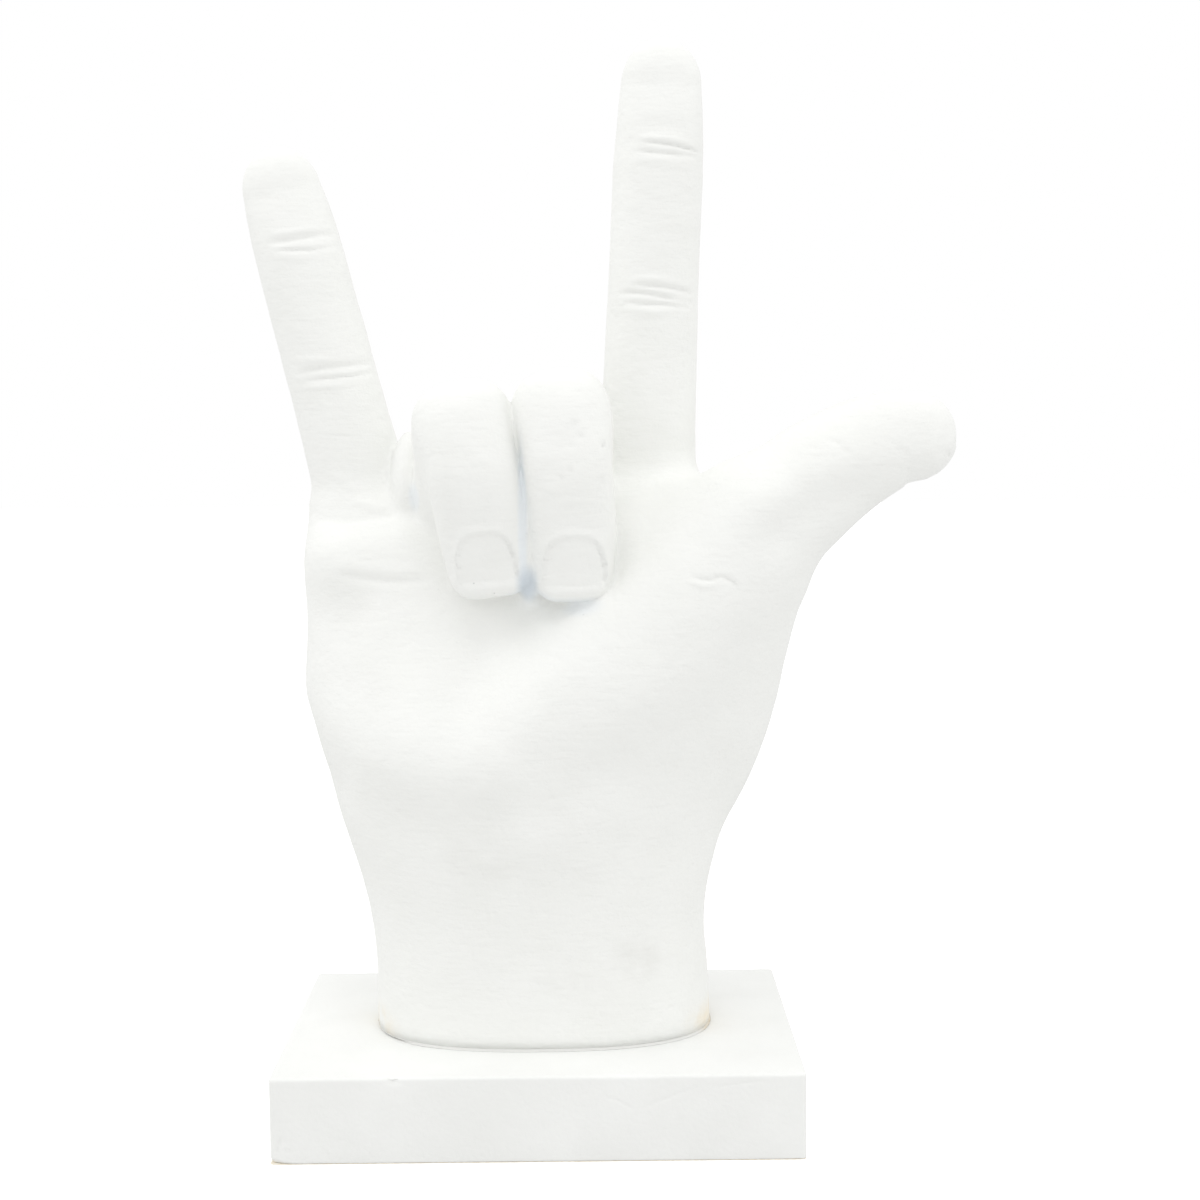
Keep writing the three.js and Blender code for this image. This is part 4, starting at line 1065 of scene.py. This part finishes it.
def spot(tree, place, centre_mm, radii_mm):
    """1 at the centre of an egg-shaped space, falling to 0 at its rim."""
    for operation, sizes in (("SUBTRACT", centre_mm), ("DIVIDE", radii_mm)):
        inputs = {0: place, 1: [v * MM for v in sizes]}
        place = node(tree, "VectorMath", inputs, operation=operation).outputs["Vector"]
    length = node(tree, "VectorMath", {0: place}, operation="LENGTH").outputs["Value"]
    return one_minus(tree, eased(tree, length, 0.35, 1.0))


def mixed(tree, share, strength, colour, tint):
    """A colour output turned towards a tint by a share times a strength."""
    inputs = {"Factor": product(tree, share, strength), 6: colour, 7: (*tint, 1)}
    return node(tree, "Mix", inputs, data_type="RGBA").outputs[2]


def separated(tree, place):
    """The x, y and z of the coordinates."""
    made = node(tree, "SeparateXYZ", {"Vector": place})
    return [made.outputs[axis] for axis in "XYZ"]


def mottled(name, colour, roughness, setting, patches, tints, bumps):
    """A material whose colour wanders between two tints in patches, with a fine bump.

    The patches are their noise's scale and detail, and each bump is its scale, detail and millimetres.
    """
    material, tree, shader, place = principled(name, colour, roughness)
    shader.inputs[setting[0]].default_value = setting[1]
    tint = ramp(tree, noise(tree, place, *patches), tints)
    tree.links.new(tint, shader.inputs["Base Color"])
    bump(tree, shader, [(noise(tree, place, scale, detail), size) for scale, detail, size in bumps])
    return material


MATT = ("Specular IOR Level", 0.3)
METAL = ("Metallic", 1.0)
METAL_BUMPS = ((2500, 3, 0.02),)
# The hand's white, and the tints of the painted shade patches on the wrist, of the painted shade along its
# foot, of the amber stain and painted warm glow at its foot's ends, of the dust, and the blues of the painted
# shade in its crevices
HAND_TINTS = ((0.35, (0.86, 0.865, 0.84)), (0.65, (0.88, 0.885, 0.862)))
SHADE_GREY = (0.78, 0.78, 0.75)
FOOT_SHADE = (0.76, 0.765, 0.745)
STAIN_AND_GLOW = (0.87, 0.77, 0.60)
DUST = (0.25, 0.25, 0.26)
PALE_BLUE = (0.79, 0.84, 0.89)
DEEP_BLUE = (0.60, 0.66, 0.72)
# Painted shade: bluish tints painted into the shadowed crevices about the folded fingers: centre and half
# sizes in millimetres, how strong, and the tint
PAINTED_BLUE_SHADE = (
    ((-2.4, -27, 141), (1.5, 7, 24), 0.6, PALE_BLUE),
    ((-1.5, -24, 122), (8, 7, 4), 0.5, PALE_BLUE),
    ((-1.7, -22, 126.5), (3.4, 12, 6), 0.8, DEEP_BLUE),
    ((9, -25, 121), (10, 5, 3), 0.35, PALE_BLUE),
    ((-27.4, -12, 145), (2, 9, 4.5), 0.4, PALE_BLUE),
)
# Painted shade: darker patches on the wrist's front: the picture pixel, half sizes in millimetres and how
# strong
PAINTED_SHADE_PATCHES = (((635, 960), (8, 12, 7), 0.5), ((480, 860), (12, 12, 9), 0.25), ((575, 990), (14, 12, 8), 0.2))
# Heights above the foot where the painted shade along the foot and the amber stain with its painted warm glow
# fade out, and how far out the stain and glow begin
FOOT_SHADE_FADE = (-0.2, 3.5)
STAIN_AND_GLOW_FADE = (0.5, 8)
STAIN_AND_GLOW_ENDS = (31, 40)
# The dust's cells per metre, the share of them left empty, a speck's size in its cell, and where it lies
DUST_CELLS = 460
DUST_EMPTY = 0.80
DUST_SPECK = 0.085
DUST_SPACE = ((-2, -20, 123), (30, 15, 19))


def low_down(tree, height, fade):
    """1 below the fade's start above the hand's foot, 0 above its end."""
    start, end = [(FOOT + h) * MM for h in fade]
    return one_minus(tree, eased(tree, height, start, end))


def far_out(tree, across, ends):
    """0 nearer to the middle than the ends' start, 1 past their end, on both sides."""
    return eased(tree, calculated(tree, "ABSOLUTE", across), ends[0] * MM, ends[1] * MM)


def dust(tree, place):
    """Round specks in some cells of a Voronoi pattern, near the folded fingertips."""
    cells = node(tree, "TexVoronoi", {"Vector": place, "Scale": DUST_CELLS})
    chosen = calculated(tree, "GREATER_THAN", separated(tree, cells.outputs["Color"])[0], DUST_EMPTY)
    round_ones = calculated(tree, "LESS_THAN", cells.outputs["Distance"], DUST_SPECK)
    return product(tree, product(tree, round_ones, chosen), spot(tree, place, *DUST_SPACE))


def cast_white():
    """The hand's white, brushed, with painted shade in its crevices, on the wrist and along its foot, an
    amber stain and a painted warm glow at its foot's ends, and dust.
    """
    material, tree, shader, place = principled("cast white", HAND_TINTS[0][1], 0.7)
    shader.inputs[MATT[0]].default_value = MATT[1]
    colour = ramp(tree, noise(tree, place, 60, 4), HAND_TINTS)
    # Painted shade: bluish tints in the crevices about the folded fingers
    for centre, radii, strength, tint in PAINTED_BLUE_SHADE:
        colour = mixed(tree, spot(tree, place, centre, radii), strength, colour, tint)
    patchy = eased(tree, noise(tree, place, 140, 4), 0.35, 0.65)
    # Painted shade: darker patches on the wrist's front, broken up by the patchy noise
    for pixel, radii, strength in PAINTED_SHADE_PATCHES:
        centre = seen(hand_form, FOOT, (pixel,))[0] + (0, 0, FOOT)
        worn = product(tree, spot(tree, place, centre, radii), patchy)
        colour = mixed(tree, worn, strength, colour, SHADE_GREY)
    across, _, height = separated(tree, place)
    # Painted shade: darker along the foot, where the hand meets the plinth
    colour = mixed(tree, low_down(tree, height, FOOT_SHADE_FADE), 0.6, colour, FOOT_SHADE)
    # Amber at the foot's two ends: a glue stain, and a painted warm glow
    corners = product(tree, low_down(tree, height, STAIN_AND_GLOW_FADE), far_out(tree, across, STAIN_AND_GLOW_ENDS))
    colour = mixed(tree, product(tree, corners, patchy), 0.8, colour, STAIN_AND_GLOW)
    colour = mixed(tree, dust(tree, place), 0.6, colour, DUST)
    tree.links.new(colour, shader.inputs["Base Color"])
    brushed = node(tree, "Mapping", {"Vector": place, "Rotation": (0, -0.75, 0), "Scale": (0.25, 1, 1.6)})
    pits = noise(tree, place, 700, 5)
    strokes = noise(tree, brushed.outputs["Vector"], 500, 3)
    waves = noise(tree, place, 180, 4)
    bump(tree, shader, ((pits, 0.12), (strokes, 0.16), (waves, 0.30)))
    return material


def plinth_white():
    """The plinth's white, a little patchy and pitted."""
    tints = ((0.35, (0.845, 0.85, 0.83)), (0.65, (0.875, 0.88, 0.862)))
    bumps = ((900, 4, 0.08), (220, 3, 0.12))
    return mottled("plinth white", (0.86, 0.865, 0.845), 0.65, MATT, (45, 5), tints, bumps)


def glue():
    """Off-white where it was wiped over, but darker than the cast, which paints the shade along the foot's
    contact line, and bare amber at the foot's two ends.
    """
    material, tree, shader, place = principled("glue", (0.86, 0.85, 0.82), 0.5)
    ends = far_out(tree, separated(tree, place)[0], (35.5, 40.5))
    patchy = product(tree, ends, noise(tree, place, 500, 3))
    # The grey-white paints the shade at the contact line; the amber is the glue's own colour
    tint = ramp(tree, patchy, ((0.05, (0.78, 0.78, 0.755)), (0.55, (0.74, 0.64, 0.48))))
    tree.links.new(tint, shader.inputs["Base Color"])
    bump(tree, shader, ((noise(tree, place, 1200, 3), 0.05),))
    return material


def tan_felt():
    """Light tan felt, its fibres a fine noise."""
    tints = ((0.3, (0.88, 0.80, 0.66)), (0.7, (0.97, 0.94, 0.86)))
    fuzz = ("Sheen Weight", 0.3)
    return mottled("tan felt", (0.92, 0.87, 0.78), 0.95, fuzz, (900, 6), tints, ((3000, 4, 0.1),))


def zinc_steel():
    """Zinc-plated steel, cloudy grey."""
    tints = ((0.3, (0.5, 0.52, 0.56)), (0.7, (0.66, 0.66, 0.64)))
    return mottled("zinc steel", (0.6, 0.61, 0.63), 0.35, METAL, (250, 4), tints, METAL_BUMPS)


def brass():
    """Turned brass."""
    tints = ((0.3, (0.6, 0.42, 0.17)), (0.7, (0.76, 0.58, 0.3)))
    return mottled("brass", (0.7, 0.52, 0.24), 0.3, METAL, (300, 4), tints, METAL_BUMPS)


def studio():
    """Pale floor, even white surroundings and three soft lamps."""
    world = bpy.data.worlds.new("studio")
    bpy.context.scene.world = world
    world.use_nodes = True
    tree = world.node_tree
    # One background lights the scene, and the other is what the camera sees
    light, white = tree.nodes["Background"], node(tree, "Background", {})
    for background, level in ((light, SKY_LEVEL), (white, 1.0)):
        background.inputs["Color"].default_value = (1, 1, 1, 1)
        background.inputs["Strength"].default_value = level
    camera_ray = node(tree, "LightPath", {}).outputs["Is Camera Ray"]
    mix = node(tree, "MixShader", {"Fac": camera_ray, 1: light.outputs[0], 2: white.outputs[0]})
    tree.links.new(mix.outputs["Shader"], tree.nodes["World Output"].inputs["Surface"])

    material, tree, shader, _ = principled("studio floor", (FLOOR_WHITE,) * 3, 0.9)
    shader.inputs["Specular IOR Level"].default_value = 0.0
    shader.inputs["Emission Color"].default_value = (1, 1, 1, 1)
    lift = product(tree, node(tree, "LightPath", {}).outputs["Is Camera Ray"], FLOOR_LIFT)
    tree.links.new(lift, shader.inputs["Emission Strength"])
    corners = [(x * FLOOR_HALF, y * FLOOR_HALF, 0) for x, y in ((-1, -1), (1, -1), (1, 1), (-1, 1))]
    floor = mesh_object("floor", corners, ((0, 1, 2, 3),), material)

    for name, place, wide, deep, level in LAMPS:
        lamp = bpy.data.lights.new(name, "AREA")
        lamp.shape = "RECTANGLE"
        lamp.size = wide
        lamp.size_y = deep
        towards = Vector(LAMP_TARGET) - Vector(place)
        lamp.energy = level * np.pi**2 * towards.length_squared
        holder = placed(name, lamp)
        holder.location = place
        holder.rotation_euler = towards.to_track_quat("-Z", "Y").to_euler()


def camera():
    """The photograph's camera, solved from the plinth's corners."""
    data = bpy.data.cameras.new("camera")
    data.sensor_width = SENSOR_MM
    data.sensor_height = SENSOR_MM
    data.sensor_fit = "HORIZONTAL"
    data.lens = LENS_MM
    holder = placed("camera", data)
    right, up, forward = camera_axes()
    turned = Matrix((right, up, -forward)).transposed().to_4x4()
    holder.matrix_world = Matrix.Translation(EYE) @ turned
    bpy.context.scene.camera = holder


def paint(cad_node, material):
    """Give a CAD node's object a material."""
    piece = bpy.data.objects[cad_node]
    piece.data.materials.clear()
    piece.data.materials.append(material)


bpy.context.scene.view_settings.view_transform = "Standard"
for piece, cad_node, slot in (
    (hand_mesh(cast_white()), "hand_casting", "cast_white"),
    (plinth_block(plinth_white()), "plinth", "plinth_white"),
    (felt_sheet(tan_felt()), "base_felt", "tan_felt"),
    (glue_bead(glue()), "glue_film", "amber_glue"),
):
    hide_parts(cad_node)
    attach(piece, "root")
STEEL = zinc_steel()
BRASS = brass()
for side in ("left", "right"):
    paint("fixing_screw_" + side, STEEL)
    paint("washer_" + side, STEEL)
    paint("threaded_insert_" + side, BRASS)
studio()
camera()
